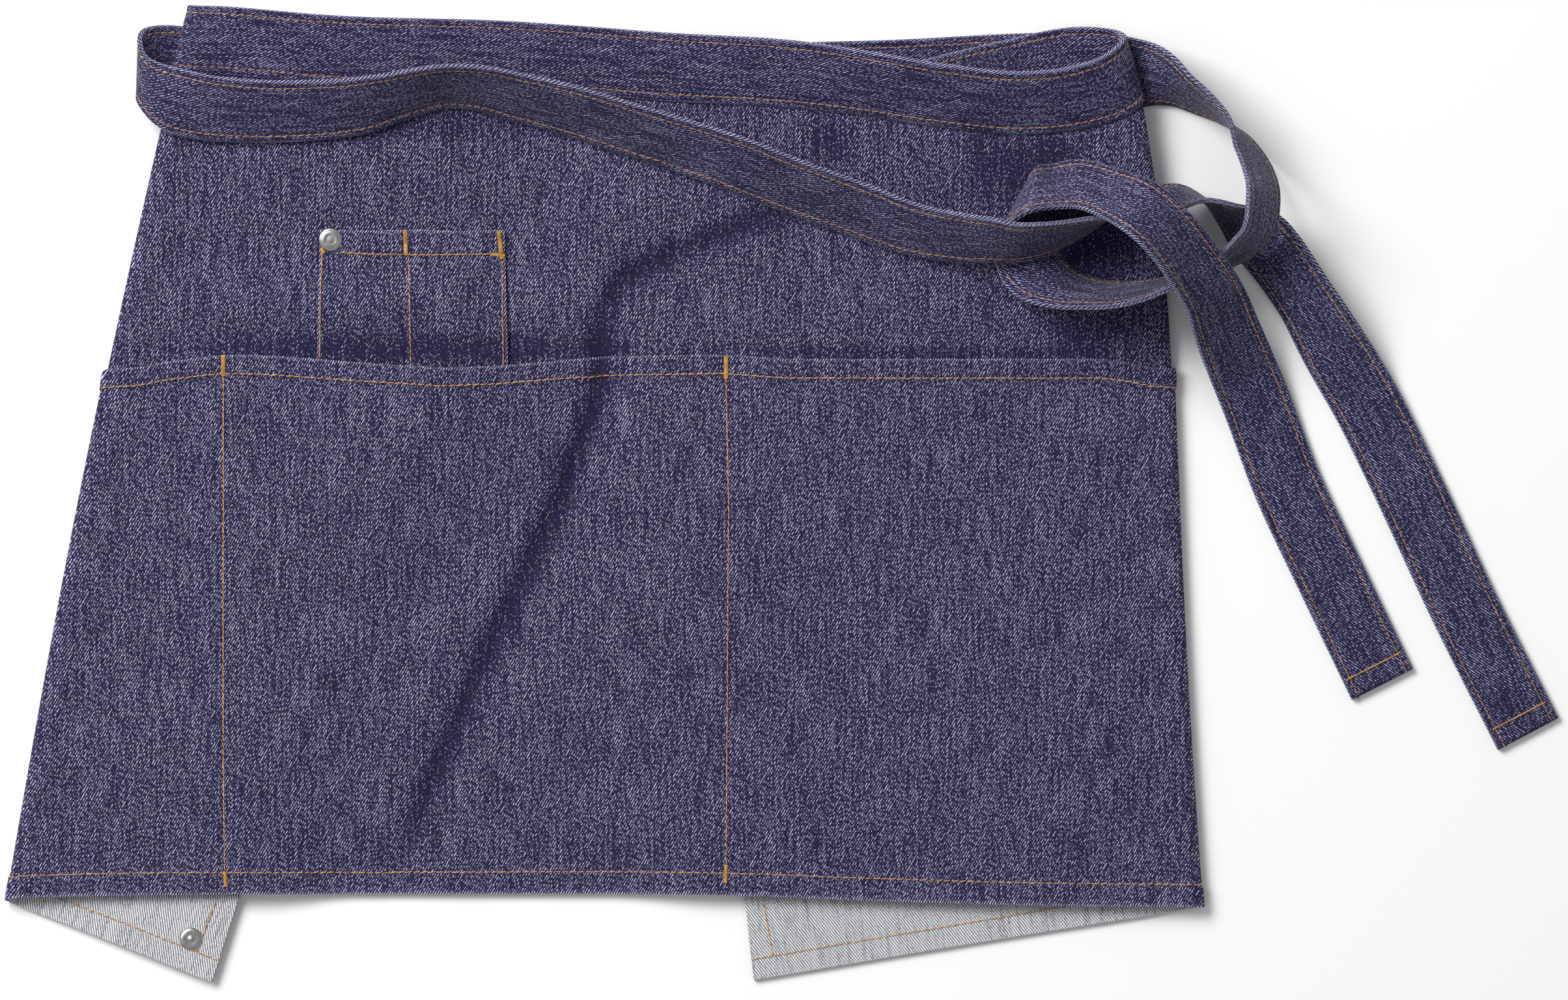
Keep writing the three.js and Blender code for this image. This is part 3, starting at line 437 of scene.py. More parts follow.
class Wire:
    """A value in a cloth's, metal's or thread's make-up, with the arithmetic that works on it."""

    def __init__(self, tree, out):
        self.tree, self.out = tree, out

    def node(self, kind, settings=(), sockets=(), give=0):
        made = self.tree.nodes.new(kind)
        for name, value in dict(settings).items():
            if name == "stops":
                for stop, (place, colour) in zip(made.color_ramp.elements, value, strict=True):
                    stop.position, stop.color = place, (*colour, 1)
            else:
                setattr(made, name, value)
        for key, value in dict(sockets).items():
            if isinstance(value, Wire):
                self.tree.links.new(value.out, made.inputs[key])
            else:
                made.inputs[key].default_value = value
        return Wire(self.tree, made.outputs[give])

    def maths(self, operation, *values):
        return self.node("ShaderNodeMath", {"operation": operation}, dict(enumerate(values)))

    def __add__(self, other):
        return self.maths("ADD", self, other)

    def __radd__(self, other):
        return self.maths("ADD", other, self)

    def __sub__(self, other):
        return self.maths("SUBTRACT", self, other)

    def __rsub__(self, other):
        return self.maths("SUBTRACT", other, self)

    def __mul__(self, other):
        return self.maths("MULTIPLY", self, other)

    def __rmul__(self, other):
        return self.maths("MULTIPLY", other, self)

    def sine(self):
        return self.maths("SINE", self)

    def clamped(self):
        return self.node("ShaderNodeClamp", {}, {"Value": self})

    def point(self, x, y, z=0.0):
        return self.node("ShaderNodeCombineXYZ", {}, {"X": x, "Y": y, "Z": z})

    def noise(self, place, detail=2.0, rough=0.5, scale=1.0):
        given = {"Vector": place, "Scale": scale, "Detail": detail, "Roughness": rough}
        return self.node("ShaderNodeTexNoise", {}, given)

    def stored(self, name):
        return self.node("ShaderNodeAttribute", {"attribute_name": name}, {}, give=2)

    def mixed(self, share, first, second):
        return self.node("ShaderNodeMix", {"data_type": "RGBA"}, {0: share, 6: first, 7: second}, give=2)


TWILL_SLANT = 60
TWILL_PITCH = 1.065
STITCH = 0.0036


def denim(name, ground, fleck, share, contrast, edge_gain, wrong_side=False):
    """Indigo twill read from the flat cut: dark diagonal ribs, with pale weft flecks between them."""
    material, tree, shader = new_material(name)
    cut = Wire(tree, tree.nodes.new("ShaderNodeUVMap").outputs["UV"])
    u = cut.node("ShaderNodeSeparateXYZ", {}, {0: cut}, give=0) * 1000
    v = cut.node("ShaderNodeSeparateXYZ", {}, {0: cut}, give=1) * 1000
    slow = cut.noise(cut.point(u * 0.16, v * 0.16), detail=1)
    slant = math.radians(TWILL_SLANT)
    rib = u * (math.sin(slant) / TWILL_PITCH) - v * (math.cos(slant) / TWILL_PITCH) + slow * 0.3
    wave = (rib * (2 * math.pi)).sine()
    along = u * 0.5 + v * 0.866
    grain = cut.noise(cut.point(rib * 1.15, along * 0.75), detail=1, rough=0.6)
    warp = cut.noise(cut.point(u * 0.95, v * 0.04), detail=2, rough=0.6)
    weft = cut.noise(cut.point(u * 0.06, v * 1.3), detail=1, rough=0.6)
    mottle = cut.noise(cut.point(u * 0.55, v * 0.16), detail=2, rough=0.6)
    cloud = cut.noise(cut.point(u * 0.07, v * 0.045), detail=2)
    low, high = (-0.15, 1.7) if not wrong_side else (-0.9, 0.9)
    valley_share = ((wave - low) * high).clamped()
    worn = cut.stored("wear")
    streak = (warp - 0.5) * 1.9 + (weft - 0.5) * 0.35 + (mottle - 0.5) * 0.3 + (cloud - 0.5) * 0.35
    # Painted shade: the stored share takes pale flecks away, darkening creases, hollows and the pocket's
    # mouth
    painted_shade_share = cut.stored("crease_and_painted_shade")
    flecked = ((grain - 0.5) * contrast + streak + share - painted_shade_share * 0.45).clamped()
    amount = (valley_share * (flecked * 0.95 + worn * edge_gain)).clamped()
    dark = tuple(0.72 * c for c in ground)
    tone = cut.mixed((0.5 + streak * 0.6).clamped(), (*dark, 1), (*(1.3 * c for c in ground), 1))
    colour = cut.mixed(amount, tone, (*fleck, 1))
    tree.links.new(colour.out, shader.inputs["Base Color"])
    seam = cut.stored("seam")
    run = cut.stored("run")
    pucker = (run * (2 * math.pi / (STITCH * 1000)) + slow * 1.5).sine()
    height = wave * 0.35 + grain * 0.9 + warp * 0.4 + seam * pucker * 1.1
    bump = cut.node("ShaderNodeBump", {}, {"Strength": 0.45, "Distance": 0.00022, "Height": height})
    tree.links.new(bump.out, shader.inputs["Normal"])
    tree.links.new((0.93 - amount * 0.2).out, shader.inputs["Roughness"])
    shader.inputs["Specular IOR Level"].default_value = 0.25
    shader.inputs["Sheen Weight"].default_value = 0.12
    shader.inputs["Sheen Roughness"].default_value = 0.5
    return material


cloth_front = denim("denim_front", (0.0120, 0.0082, 0.046), (0.50, 0.49, 0.64), 0.22, 4.0, 0.5)
cloth_wrong = denim(
    "denim_wrong_side", (0.10, 0.10, 0.135), (0.78, 0.78, 0.775), 0.90, 1.8, 0.2, wrong_side=True
)

steps = []
for k in range(len(STATIONS) - 1):
    run = max(np.linalg.norm(places[k + 1] - places[k]) for places in (hem_places, band_centres))
    bent = k in (LEFT_FOLD - 1, LEFT_FOLD, RIGHT_FOLD - 1, RIGHT_FOLD)
    count = max(10 if bent else 4, math.ceil(run / COLUMN_STEP))
    steps.extend(k + np.arange(count) / count)
body_at = np.array([*steps, len(STATIONS) - 1.0])
INNER_SEAM = 0.0259
body_rows = np.concatenate([
    [0, 0.0012, 0.004, 0.010, 0.018, INNER_SEAM, 0.034],
    np.arange(0.0165, FRONT_HEIGHT, ROW_STEP) / FRONT_HEIGHT,
    [1.0],
])
front_share = front_weight(body_at)[:, None]
body_middle = body_points(body_at, np.broadcast_to(body_rows, (len(body_at), len(body_rows))))
tops = columns_at(body_at)
body_middle = np.concatenate([body_middle, tops[2][:, None]], axis=1)
body_normal = grid_normals(body_middle)
body_normal[:, -2:] = tops[3][:, None]
body_flat = laid_flat(body_at, body_middle)
body_x, body_y = body_middle[..., 0], body_middle[..., 1]
body = closed_sheet(
    "apron_body",
    body_middle + body_normal * CLOTH / 2,
    body_middle - body_normal * CLOTH / 2,
    body_flat,
    [cloth_front, cloth_wrong],
    # Painted shade along the crease's bottom and in the hollows by the mouth and the ties
    {
        "crease_and_painted_shade": crease_and_painted_shade(body_x, body_y, painted_shade=True) * front_share
        + painted_spot_shade(body_x / SPREAD, body_y / SPREAD) * front_share,
    },
)
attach(body, "root")
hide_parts("apron_panel")


# ---- Front pocket
# A second cut of the same denim over the whole hem, folded behind with the body, its top edge hemmed.
# Two rows of stitches part it into three; the middle part gapes a little.
POCKET_DEPTH = 0.249
MOUTH = [
    (-0.437, 0.0887), (-0.3597, 0.0907), (-0.2975, 0.0861), (-0.2202, 0.0806), (-0.1784, 0.0827),
    (-0.1174, 0.0877), (-0.0372, 0.0890), (0.0004, 0.0861), (0.2474, 0.0865),
]
# Where the mouth stands open, as shares of the spread: place and half width; and by how much
GAPES = [(-0.430, 0.050, 0.0010), (-0.215, 0.120, 0.0083), (0.120, 0.130, 0.0016)]
GAPE_FROM = 0.55
# Each divider at the mouth and at the hem
DIVIDERS = [(-0.3590, -0.3572), (-0.0358, -0.0368)]
DIVIDER_DENT, DIVIDER_WIDE = 0.0006, 0.0022
HEM_SEAM = 0.0102
MOUTH_SEAM = 0.0088
MOUTH_DENT = 0.0086
SEAM_MARK = 0.0020
# Rows of points close to both seams, in millimetres from the hem and from the mouth
hem_rows = np.array([0, 0.4, 1.1, 2.6, 5, 7.6, 9.2, 10.2, 11.2, 12.8]) / 1000
mouth_rows = np.array([13, 12, 11, 10.2, 9.4, 8.8, 8.2, 7.4, 6.2, 4.6, 3, 1.6, 0.8, 0.3, 0]) / 1000
plain_rows = np.arange(0.0155, POCKET_DEPTH - 0.0145, ROW_STEP)
pocket_share = np.concatenate([hem_rows, plain_rows, POCKET_DEPTH - mouth_rows]) / POCKET_DEPTH


def mouth_heights(at):
    """How far up the body the pocket's top edge is, as a share of the height, at each column."""
    hem, waist = columns_at(at)[:2]
    plain = POCKET_DEPTH / np.linalg.norm((waist - hem)[:, :2], axis=1)
    places, levels = np.array(MOUTH).T * SPREAD
    v = plain.copy()
    for _ in range(4):
        x = hem[:, 0] + (waist[:, 0] - hem[:, 0]) * v
        v = (np.interp(x, places, levels) - hem[:, 1]) / (waist[:, 1] - hem[:, 1])
    weight = front_weight(at)
    return plain * (1 - weight) + v * weight


def pocket_layer(at, share, off):
    """The pocket at places along the hem and shares of its depth, off the body's middle by a distance."""
    v = mouth_heights(at)[:, None] * share
    middle = body_points(at, v)
    normal = grid_normals(middle)
    x = middle[..., 0] / SPREAD
    gape = 0
    for place, half, deep in GAPES:
        reach = np.clip(1 - ((x - place) / half) ** 2, 0, 1)
        gape = gape + deep * reach * reach * ease((share - GAPE_FROM) / (1 - GAPE_FROM))
    gape = gape * front_weight(at)[:, None]
    return middle + normal * (off + gape)[..., None]


pocket_rows = np.broadcast_to(pocket_share, (len(body_at), len(pocket_share)))
from_mouth = (1 - pocket_rows) * POCKET_DEPTH
from_hem = pocket_rows * POCKET_DEPTH
# Each hem: distance from its edge, added thickness, turned depth and its fade, stitched dent and its place
doubled = sum(
    thicker * (1 - ease((off - turned) / fade)) - dent * bell(off - seam, 0.0011)
    for off, thicker, turned, fade, dent, seam in (
        (from_mouth, 0.0009, 0.0083, 0.0022, 0.0004, MOUTH_DENT),
        (from_hem, 0.0007, 0.0098, 0.0025, 0.0003, HEM_SEAM),
    )
)
lip = 0.0007 * (1 - ease(from_mouth / 0.0009))
pocket_inner = pocket_layer(body_at, pocket_rows, CLOTH / 2 + GAP)
groove = np.zeros_like(doubled)
for top_x, low_x in DIVIDERS:
    line = (low_x + (top_x - low_x) * pocket_rows) * SPREAD
    groove += DIVIDER_DENT * bell(pocket_inner[..., 0] - line, DIVIDER_WIDE) * front_share
pocket_outer = pocket_layer(body_at, pocket_rows, 1.5 * CLOTH + GAP + doubled - lip - groove)
pocket_outer[..., 2] = np.maximum(pocket_outer[..., 2], 0.0001)
pocket_flat = laid_flat(body_at, pocket_inner)
pocket_marks = {
    "wear": 0.7 * np.clip(1 - from_mouth / 0.0012, 0, 1) + np.clip(1 - from_hem / 0.0015, 0, 1),
    "seam": bell(from_mouth - MOUTH_DENT, SEAM_MARK) + bell(from_hem - HEM_SEAM, SEAM_MARK),
    "run": pocket_flat[..., 0] * 1000,
    # Painted shade along the crease's bottom
    "crease_and_painted_shade": crease_and_painted_shade(pocket_inner[..., 0], pocket_inner[..., 1], painted_shade=True) * front_share,
}
pocket = closed_sheet(
    "front_pocket_cloth", pocket_outer, pocket_inner, pocket_flat, [cloth_front, cloth_wrong], pocket_marks
)
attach(pocket, "root")
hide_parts("front_pocket")


# ---- Waistband
# A strip of the same denim with its warp along the waist, folded over the top of the body.
# It is stitched close to both edges; behind, it ends where the ties are let in.
STITCH_EDGE = 0.0035
STRIP_DENT = 0.01235
# Half of a doubled strip's outline in millimetres, from its middle to its rolled edge: place, half thickness
STRIP_FACE = [
    (0, 1.38), (4, 1.38), (8, 1.35), (11.0, 1.30), (11.8, 1.18),
    (12.35, 1.0), (12.9, 1.22), (13.9, 1.40), (14.9, 1.32),
]
STRIP_EDGE = [(15.5, 1.05), (15.875, 0.65), (15.6, 0.25), (15.3, 0.0)]

strap_cloth = denim("denim_strap", (0.0120, 0.0084, 0.046), (0.45, 0.44, 0.60), 0.17, 3.4, 0.5)


def strip_outline(thick):
    """A doubled strip's outline, run round from the left edge's notch, for half a thickness."""
    half = np.array(STRIP_FACE + STRIP_EDGE) / 1000
    half[:, 1] *= thick / (TIE_THICK / 2)
    low = half[::-1] * (-1, -1)
    right = half[1:] * (1, -1)
    up = half[-2::-1]
    left = half[1:-1] * (-1, 1)
    return np.vstack([low, right, up, left])


def strip(name, middle, way, face, outline, material):
    """A strap swept along its sections; its UV map has the warp along the strap."""
    n, m = len(middle), len(outline)
    across, up = outline[None, :, :1], outline[None, :, 1:]
    points = (middle[:, None] + way[:, None] * across + face[:, None] * up).reshape(-1, 3)
    number = np.arange(n * m).reshape(n, m)
    after = np.roll(number, -1, axis=1)
    sides = np.stack([number[:-1], after[:-1], after[1:], number[1:]], axis=-1).reshape(-1, 4)
    mesh = bpy.data.meshes.new(name)
    mesh.from_pydata(points.tolist(), [], sides.tolist() + [number[0, ::-1].tolist(), number[-1].tolist()])
    mesh.materials.append(material)
    mesh.polygons.foreach_set("use_smooth", np.array([True] * len(sides) + [False] * 2))
    run = lengths_along(middle)
    round_it = lengths_along(np.vstack([outline, outline[:1]]))
    a, b = (np.broadcast_to(x, (n - 1, m)) for x in (round_it[:-1], round_it[1:]))
    low, high = (np.broadcast_to(x[:, None], (n - 1, m)) for x in (run[:-1], run[1:]))
    uv = np.stack([-a, low, -b, low, -b, high, -a, high], axis=-1).reshape(-1)
    near_end = np.column_stack([-outline[::-1, 0], np.full(m, run[0])])
    far_end = np.column_stack([-outline[:, 0], np.full(m, run[-1])])
    ends = np.vstack([near_end, far_end])
    mesh.uv_layers.new(name="cut").data.foreach_set("uv", np.concatenate([uv, ends.ravel()]))
    off = np.abs(outline[:, 0])
    marks = {
        "wear": np.clip((off - 0.0150) / 0.0005, 0, 1) * np.where(off > 0.0154, 1, 0.8),
        "seam": bell(off - STRIP_DENT, 0.0015),
    }
    marks = {k: np.broadcast_to(x, (n, m)) for k, x in marks.items()}
    marks["run"] = np.broadcast_to(run[:, None] * 1000, (n, m))
    marked(mesh, marks)
    return placed(name, mesh)


band_middle, band_way, band_face = ribbon(band_centres, band_ways, body_at, BAND_THICK / 2, TIE_THICK + GAP)
band_outline = strip_outline(BAND_THICK / 2)
slot_half, slot_mouth = CLOTH / 2 + GAP, 0.0004 - STRAP_WIDTH / 2
slot_end = SEAM_DEPTH - STRAP_WIDTH / 2
band_outline[0] = (slot_mouth, -slot_half)
slot = [(slot_mouth, slot_half), (slot_end, slot_half), (slot_end, -slot_half)]
band_outline = np.vstack([band_outline, slot])
waistband = strip("waistband_cloth", band_middle, band_way, band_face, band_outline, strap_cloth)
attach(waistband, "root")
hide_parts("waistband")


# ---- Ties
# Two straps of folded denim, stitched along both edges and across their free ends.
# The left one lies over the front; the right one makes the half knot round it and passes over its arch.
# Their places: x, y, on the cloth (1) or the floor (0), lift, bearing, lean
LEFT_TIE = np.array([
    (-0.0832, 0.2114, 0, 0.11, 104, 0),
    (-0.112, 0.198, 0, 0.06, 103, 0),
    (-0.141, 0.187, 0, 0, 93, 0),
    (-0.177, 0.183, 0, 0, 85, 0),
    (-0.219, 0.192, 0, 0, 70, 0),
    (-0.269, 0.218, 0, 0, 67, 0),
    (-0.323, 0.251, 0, 0, 67, 0),
    (-0.365, 0.269, 0, 0, 67, 0),
    (-0.394, 0.279, 0, 0.01, 72, 0),
    (-0.4125, 0.275, 0, 0.2, 86, 4),
    (-0.405, 0.258, 0, 0.38, 97, 6),
    (-0.376, 0.248, 1, 0.02, 84, 20),
    (-0.3355, 0.2444, 1, 0, 88, 28),
    (-0.294, 0.2455, 1, 0, 95, 33),
    (-0.2687, 0.2484, 1, 0, 100, 38),
    (-0.252, 0.2526, 1, 0, 102, 46),
    (-0.2185, 0.260, 1, 0, 93, 54),
    (-0.1935, 0.259, 1, 0, 84, 52),
    (-0.1684, 0.253, 1, 0, 77, 48),
    (-0.135, 0.2445, 1, 0, 74, 45),
    (-0.1015, 0.234, 1, 0, 71, 44),
    (-0.068, 0.2235, 1, 0, 70, 42),
    (-0.0347, 0.2123, 1, 0, 69, 40),
    (-0.0013, 0.1993, 1, 0, 69, 40),
    (0.049, 0.181, 1, 0, 70, 40),
    (0.0823, 0.169, 1, 0.02, 73, 43),
    (0.1157, 0.163, 1, 0.16, 82, 48),
    (0.1325, 0.1617, 1, 0.28, 88, 52),
    (0.149, 0.1602, 1, 0.26, 94, 58),
    (0.166, 0.1623, 1, 0.25, 102, 64),
    (0.1826, 0.167, 1, 0.1, 108, 73),
    (0.2006, 0.1735, 1, 0.02, 110, 84),
    (0.2245, 0.1815, 1, 0.05, -75, 66),
    (0.249, 0.1885, 0, 0.36, -88, 66),
    (0.270, 0.1876, 0, 0.06, -100, 88),
    (0.285, 0.1784, 0, 0, 50, 71),
    (0.3084, 0.1609, 0, 0, 44, 30),
    (0.3339, 0.1258, 0, 0, 33, 34),
    (0.3515, 0.0965, 0, 0, 30, 20),
    (0.373, 0.0606, 0, 0, 28, 2),
    (0.4003, 0.0058, 0, 0, 25, 0),
    (0.437, -0.0727, 0, 0, 25, 0),
    (0.4784, -0.1546, 0, 0, 28, 0),
])
RIGHT_TIE = np.array([
    (-0.1888, 0.2415, 0, 0.11, 76, 0),
    (-0.174, 0.238, 0, 0.07, 78, 0),
    (-0.148, 0.2415, 0, 0.01, 94, 0),
    (-0.115, 0.250, 0, 0, 102, 0),
    (-0.068, 0.260, 0, 0, 98, 0),
    (0.0004, 0.2666, 0, 0, 92, 0),
    (0.074, 0.2691, 0, 0, 91, 0),
    (0.1575, 0.2733, 0, 0, 92, 0),
    (0.205, 0.273, 0, 0, 86, 1),
    (0.2281, 0.269, 0, 0, 80, 12),
    (0.2448, 0.2645, 0, 0, 72, 44),
    (0.2557, 0.2582, 0, 0, 66, 63),
    (0.2695, 0.2494, 0, 0, 55, 73),
    (0.2833, 0.239, 0, 0, 42, 86),
    (0.2946, 0.2244, 0, 0, 205, 74),
    (0.3038, 0.2068, 0, 0.22, 193, 65),
    (0.3067, 0.1909, 0, 0.55, 182, 61),
    (0.3038, 0.1688, 0, 0.66, 168, 62),
    (0.2946, 0.1575, 0, 0.3, 146, 68),
    (0.2841, 0.1504, 0, 0.05, 125, 76),
    (0.2683, 0.1429, 0, 0.14, -70, 88),
    (0.2453, 0.1337, 1, 0.04, -72, 80),
    (0.216, 0.1274, 1, 0, -84, 70),
    (0.191, 0.1287, 1, 0, -98, 61),
    (0.1742, 0.1345, 1, 0, -113, 42),
    (0.1609, 0.1437, 1, 0, -124, 18),
    (0.150, 0.1592, 1, 0.05, -123, 3),
    (0.1475, 0.1805, 1, 0.2, -121, 12),
    (0.1596, 0.1939, 1, 0.26, -105, 44),
    (0.1742, 0.196, 1, 0.13, -78, 49),
    (0.1889, 0.1972, 1, 0.3, -90, 44),
    (0.2068, 0.1918, 1, 0.5, -104, 41),
    (0.2281, 0.1813, 1, 0.99, -124, 32),
    (0.2453, 0.1659, 0, 1.3, -134, 32),
    (0.2653, 0.14, 0, 1.06, -147, 28),
    (0.2749, 0.1258, 0, 0.82, -150, 25),
    (0.2854, 0.1007, 0, 0.42, -154, 13),
    (0.3034, 0.0589, 0, 0.08, -156, 2),
    (0.3242, 0.0042, 0, 0, -156, 0),
    (0.351, -0.0526, 0, 0, -154, 0),
    (0.3848, -0.1228, 0, 0, -153, 0),
])
TIE_STEP = 0.0024
ABOVE = 0.2


def tree_of(piece):
    mesh = piece.data
    return BVHTree.FromPolygons([v.co for v in mesh.vertices], [tuple(p.vertices) for p in mesh.polygons])


tree_of_cad, tree_of_body = tree_of(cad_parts["apron_panel"]), tree_of(body)


def seen_down(tree, x, y):
    """The place and the face's way that a look straight down meets on a piece."""
    return tree.ray_cast(Vector((x, y, ABOVE)), Vector((0, 0, -1)))[:2]


def height_at(x, y):
    """Height of the body's upper face at a place on it, or 0 beside it."""
    hits = [seen_down(tree, x, y)[0] for tree in (tree_of_cad, tree_of_body)]
    return max([hit.z for hit in hits if hit is not None], default=0.0)


def tie_sections(rows):
    centres = []
    ways = toward(rows[:, 4], rows[:, 5])
    for (x, y, on_cloth, lift, _, lean), way in zip(rows, ways, strict=True):
        place = np.array([x, y]) * SPREAD
        levels = []
        for share in (-0.5, 0, 0.5):
            under = place + way[:2] * share * STRAP_WIDTH
            ground = height_at(*under) + GAP if on_cloth else 0
            levels.append(ground - share * STRAP_WIDTH * way[2])
        high = max(levels) + TIE_THICK / 2 * math.cos(math.radians(lean)) + lift * STRAP_WIDTH
        centres.append((*place, high))
    centres = np.array(centres)
    gaps = np.linalg.norm(np.diff(centres, axis=0), axis=1)
    counts = np.maximum(4, np.ceil(gaps / TIE_STEP)).astype(int)
    at = np.concatenate([k + np.arange(c) / c for k, c in enumerate(counts)] + [[len(rows) - 1]])
    return ribbon(centres, ways, at, TIE_THICK / 2, 0)


ties = {}
for name, rows, node, length in (
    ("left_tie", LEFT_TIE, "tie_left", 1.075), ("right_tie", RIGHT_TIE, "tie_right", 0.905)
):
    middle, way, face = tie_sections(rows)
    tie = strip(name, middle, way, face, strip_outline(TIE_THICK / 2), strap_cloth)
    ties[name] = (middle, way, face)
    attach(tie, "root")
    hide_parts(node)


# ---- Pen pocket
# A small patch with two cells, hemmed at the top, sewn down at its sides and along the middle.
# Its lower edge goes under the front pocket.
PEN_CORNERS = [(-0.2996, 0.0760), (-0.1765, 0.0760), (-0.1788, 0.1688), (-0.2973, 0.1692)]
PEN_HEM = 0.0112
PEN_MIDDLE = 0.468
PEN_COUNT = (56, 44)

pen_columns, pen_rows = (np.linspace(0, 1, count + 1) for count in PEN_COUNT)
pen_u, pen_v = np.meshgrid(pen_columns, pen_rows**0.8, indexing="ij")
a, b, c, d = (np.array(corner) * SPREAD for corner in PEN_CORNERS)
pen_place = (
    a * ((1 - pen_u) * (1 - pen_v))[..., None] + b * (pen_u * (1 - pen_v))[..., None]
    + c * (pen_u * pen_v)[..., None] + d * ((1 - pen_u) * pen_v)[..., None]
)
pen_wide = np.linalg.norm(b - a)
pen_deep = np.linalg.norm(d - a)
pen_place[..., 1] -= 0.0006 * np.sin(pen_u * math.pi * 2) ** 2 * pen_v**8
pen_ground = np.array([[height_at(*place) for place in column] for column in pen_place])
from_side = np.minimum(pen_u, 1 - pen_u) * pen_wide
from_top = (1 - pen_v) * pen_deep
bulge = 0.0010 * np.sin(pen_u * math.pi * 2) ** 2 * ease(from_side / 0.01) * (0.4 + 0.6 * pen_v)
pen_lift = GAP + 0.0002 + bulge
turned = 0.0008 * (1 - ease((from_top - 0.0100) / 0.0022))
turned += 0.0007 * (1 - ease((from_side - 0.0028) / 0.0018))
sewn = 0.0004 * bell(from_side - 0.0016, 0.0009) + 0.0006 * bell((pen_u - PEN_MIDDLE) * pen_wide, 0.0015)
rounded = 0.0006 * (1 - ease(np.minimum(from_side, from_top) / 0.0009))
pen_inner = np.dstack([pen_place, pen_ground + pen_lift])
pen_outer = np.dstack([pen_place, pen_ground + pen_lift + CLOTH + turned - sewn - rounded])
pen_marks = {
    "wear": np.clip(1 - np.minimum(from_side, from_top) / 0.0013, 0, 1),
    "seam": bell(from_top - PEN_HEM, 0.002),
    "run": pen_place[..., 0] * 1000,
    # Painted shade across the pen pocket's lower part, by the front pocket's mouth
    "crease_and_painted_shade": ease(1 - np.abs(pen_place[..., 1] / SPREAD - 0.092) / 0.016),
}
pen_pocket = closed_sheet(
    "pen_pocket_cloth", pen_outer, pen_inner, pen_place, [cloth_front, cloth_wrong], pen_marks
)
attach(pen_pocket, "root")
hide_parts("pen_pocket")


# ---- Rivets
# Two nickel-plated rivets: one closes the pen pocket's corner, one holds the hidden flap's corner.
# Each has a domed cap, a post through the cloths and a burr; the corner one shows its burr.
RIVET_CAP_RING = [
    (0, 1.55), (1.2, 1.52), (1.7, 1.36), (2.1, 1.36), (2.6, 1.50), (3.6, 1.44),
    (4.1, 1.22), (4.5, 1.22), (5.0, 1.10), (5.35, 0.75), (5.5, 0.35), (5.42, 0.0),
]
RIVET_BURR_RING = [
    (0, 1.5), (0.9, 1.45), (1.3, 1.15), (1.6, 0.85), (2.2, 1.0),
    (3.2, 1.12), (4.2, 1.0), (4.9, 0.72), (5.3, 0.35), (5.3, 0.0),
]
RIVET_POST = 2.2
RIVET_SIDES = 64
PEN_RIVET = (-0.2904, 0.1625)
CORNER_RIVET = (-0.3802, -0.2862)

nickel, tree, shader = new_material("nickel_plate")
spot = Wire(tree, tree.nodes.new("ShaderNodeTexCoord").outputs["Object"])
coarse = spot.noise(spot, detail=3.0, scale=420.0)
fine = spot.noise(spot, detail=2.0, scale=2600.0)
plate = spot.mixed(coarse, (0.30, 0.295, 0.29, 1), (0.58, 0.57, 0.56, 1))
tree.links.new(plate.out, shader.inputs["Base Color"])
tree.links.new((coarse * 0.25 + fine * 0.12 + 0.14).out, shader.inputs["Roughness"])
scratches = coarse * 1.0 + fine * 0.4
bump = spot.node("ShaderNodeBump", {}, {"Strength": 0.25, "Distance": 0.0001, "Height": scratches})
tree.links.new(bump.out, shader.inputs["Normal"])
shader.inputs["Metallic"].default_value = 1


def rivet(name, node, x, y, upper, lower, top_z, bottom_z):
    """A turned rivet: one head up at top_z, one head down at bottom_z, and the post between them."""
    profile = [(r / 1000, top_z + z / 1000) for r, z in upper]
    profile += [(RIVET_POST / 1000, top_z), (RIVET_POST / 1000, bottom_z)]
    profile += [(r / 1000, bottom_z - z / 1000) for r, z in reversed(lower)]
    turn = np.arange(RIVET_SIDES) / RIVET_SIDES * 2 * math.pi
    rings = profile[1:-1]
    points = [(x, y, profile[0][1])]
    points += [(x + r * math.cos(t), y + r * math.sin(t), z) for r, z in rings for t in turn]
    points += [(x, y, profile[-1][1])]
    faces = [(0, 1 + k, 1 + (k + 1) % RIVET_SIDES) for k in range(RIVET_SIDES)]
    for ring in range(len(rings) - 1):
        here, below = 1 + ring * RIVET_SIDES, 1 + (ring + 1) * RIVET_SIDES
        for k in range(RIVET_SIDES):
            after = (k + 1) % RIVET_SIDES
            faces.append((here + k, below + k, below + after, here + after))
    last = 1 + (len(rings) - 1) * RIVET_SIDES
    faces += [(len(points) - 1, last + (k + 1) % RIVET_SIDES, last + k) for k in range(RIVET_SIDES)]
    mesh = bpy.data.meshes.new(name)
    mesh.from_pydata(points, [], faces)
    mesh.materials.append(nickel)
    mesh.polygons.foreach_set("use_smooth", np.ones(len(faces), bool))
    mesh.set_sharp_from_angle(angle=math.radians(60))
    made = placed(name, mesh)
    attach(made, "root")
    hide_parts(node)


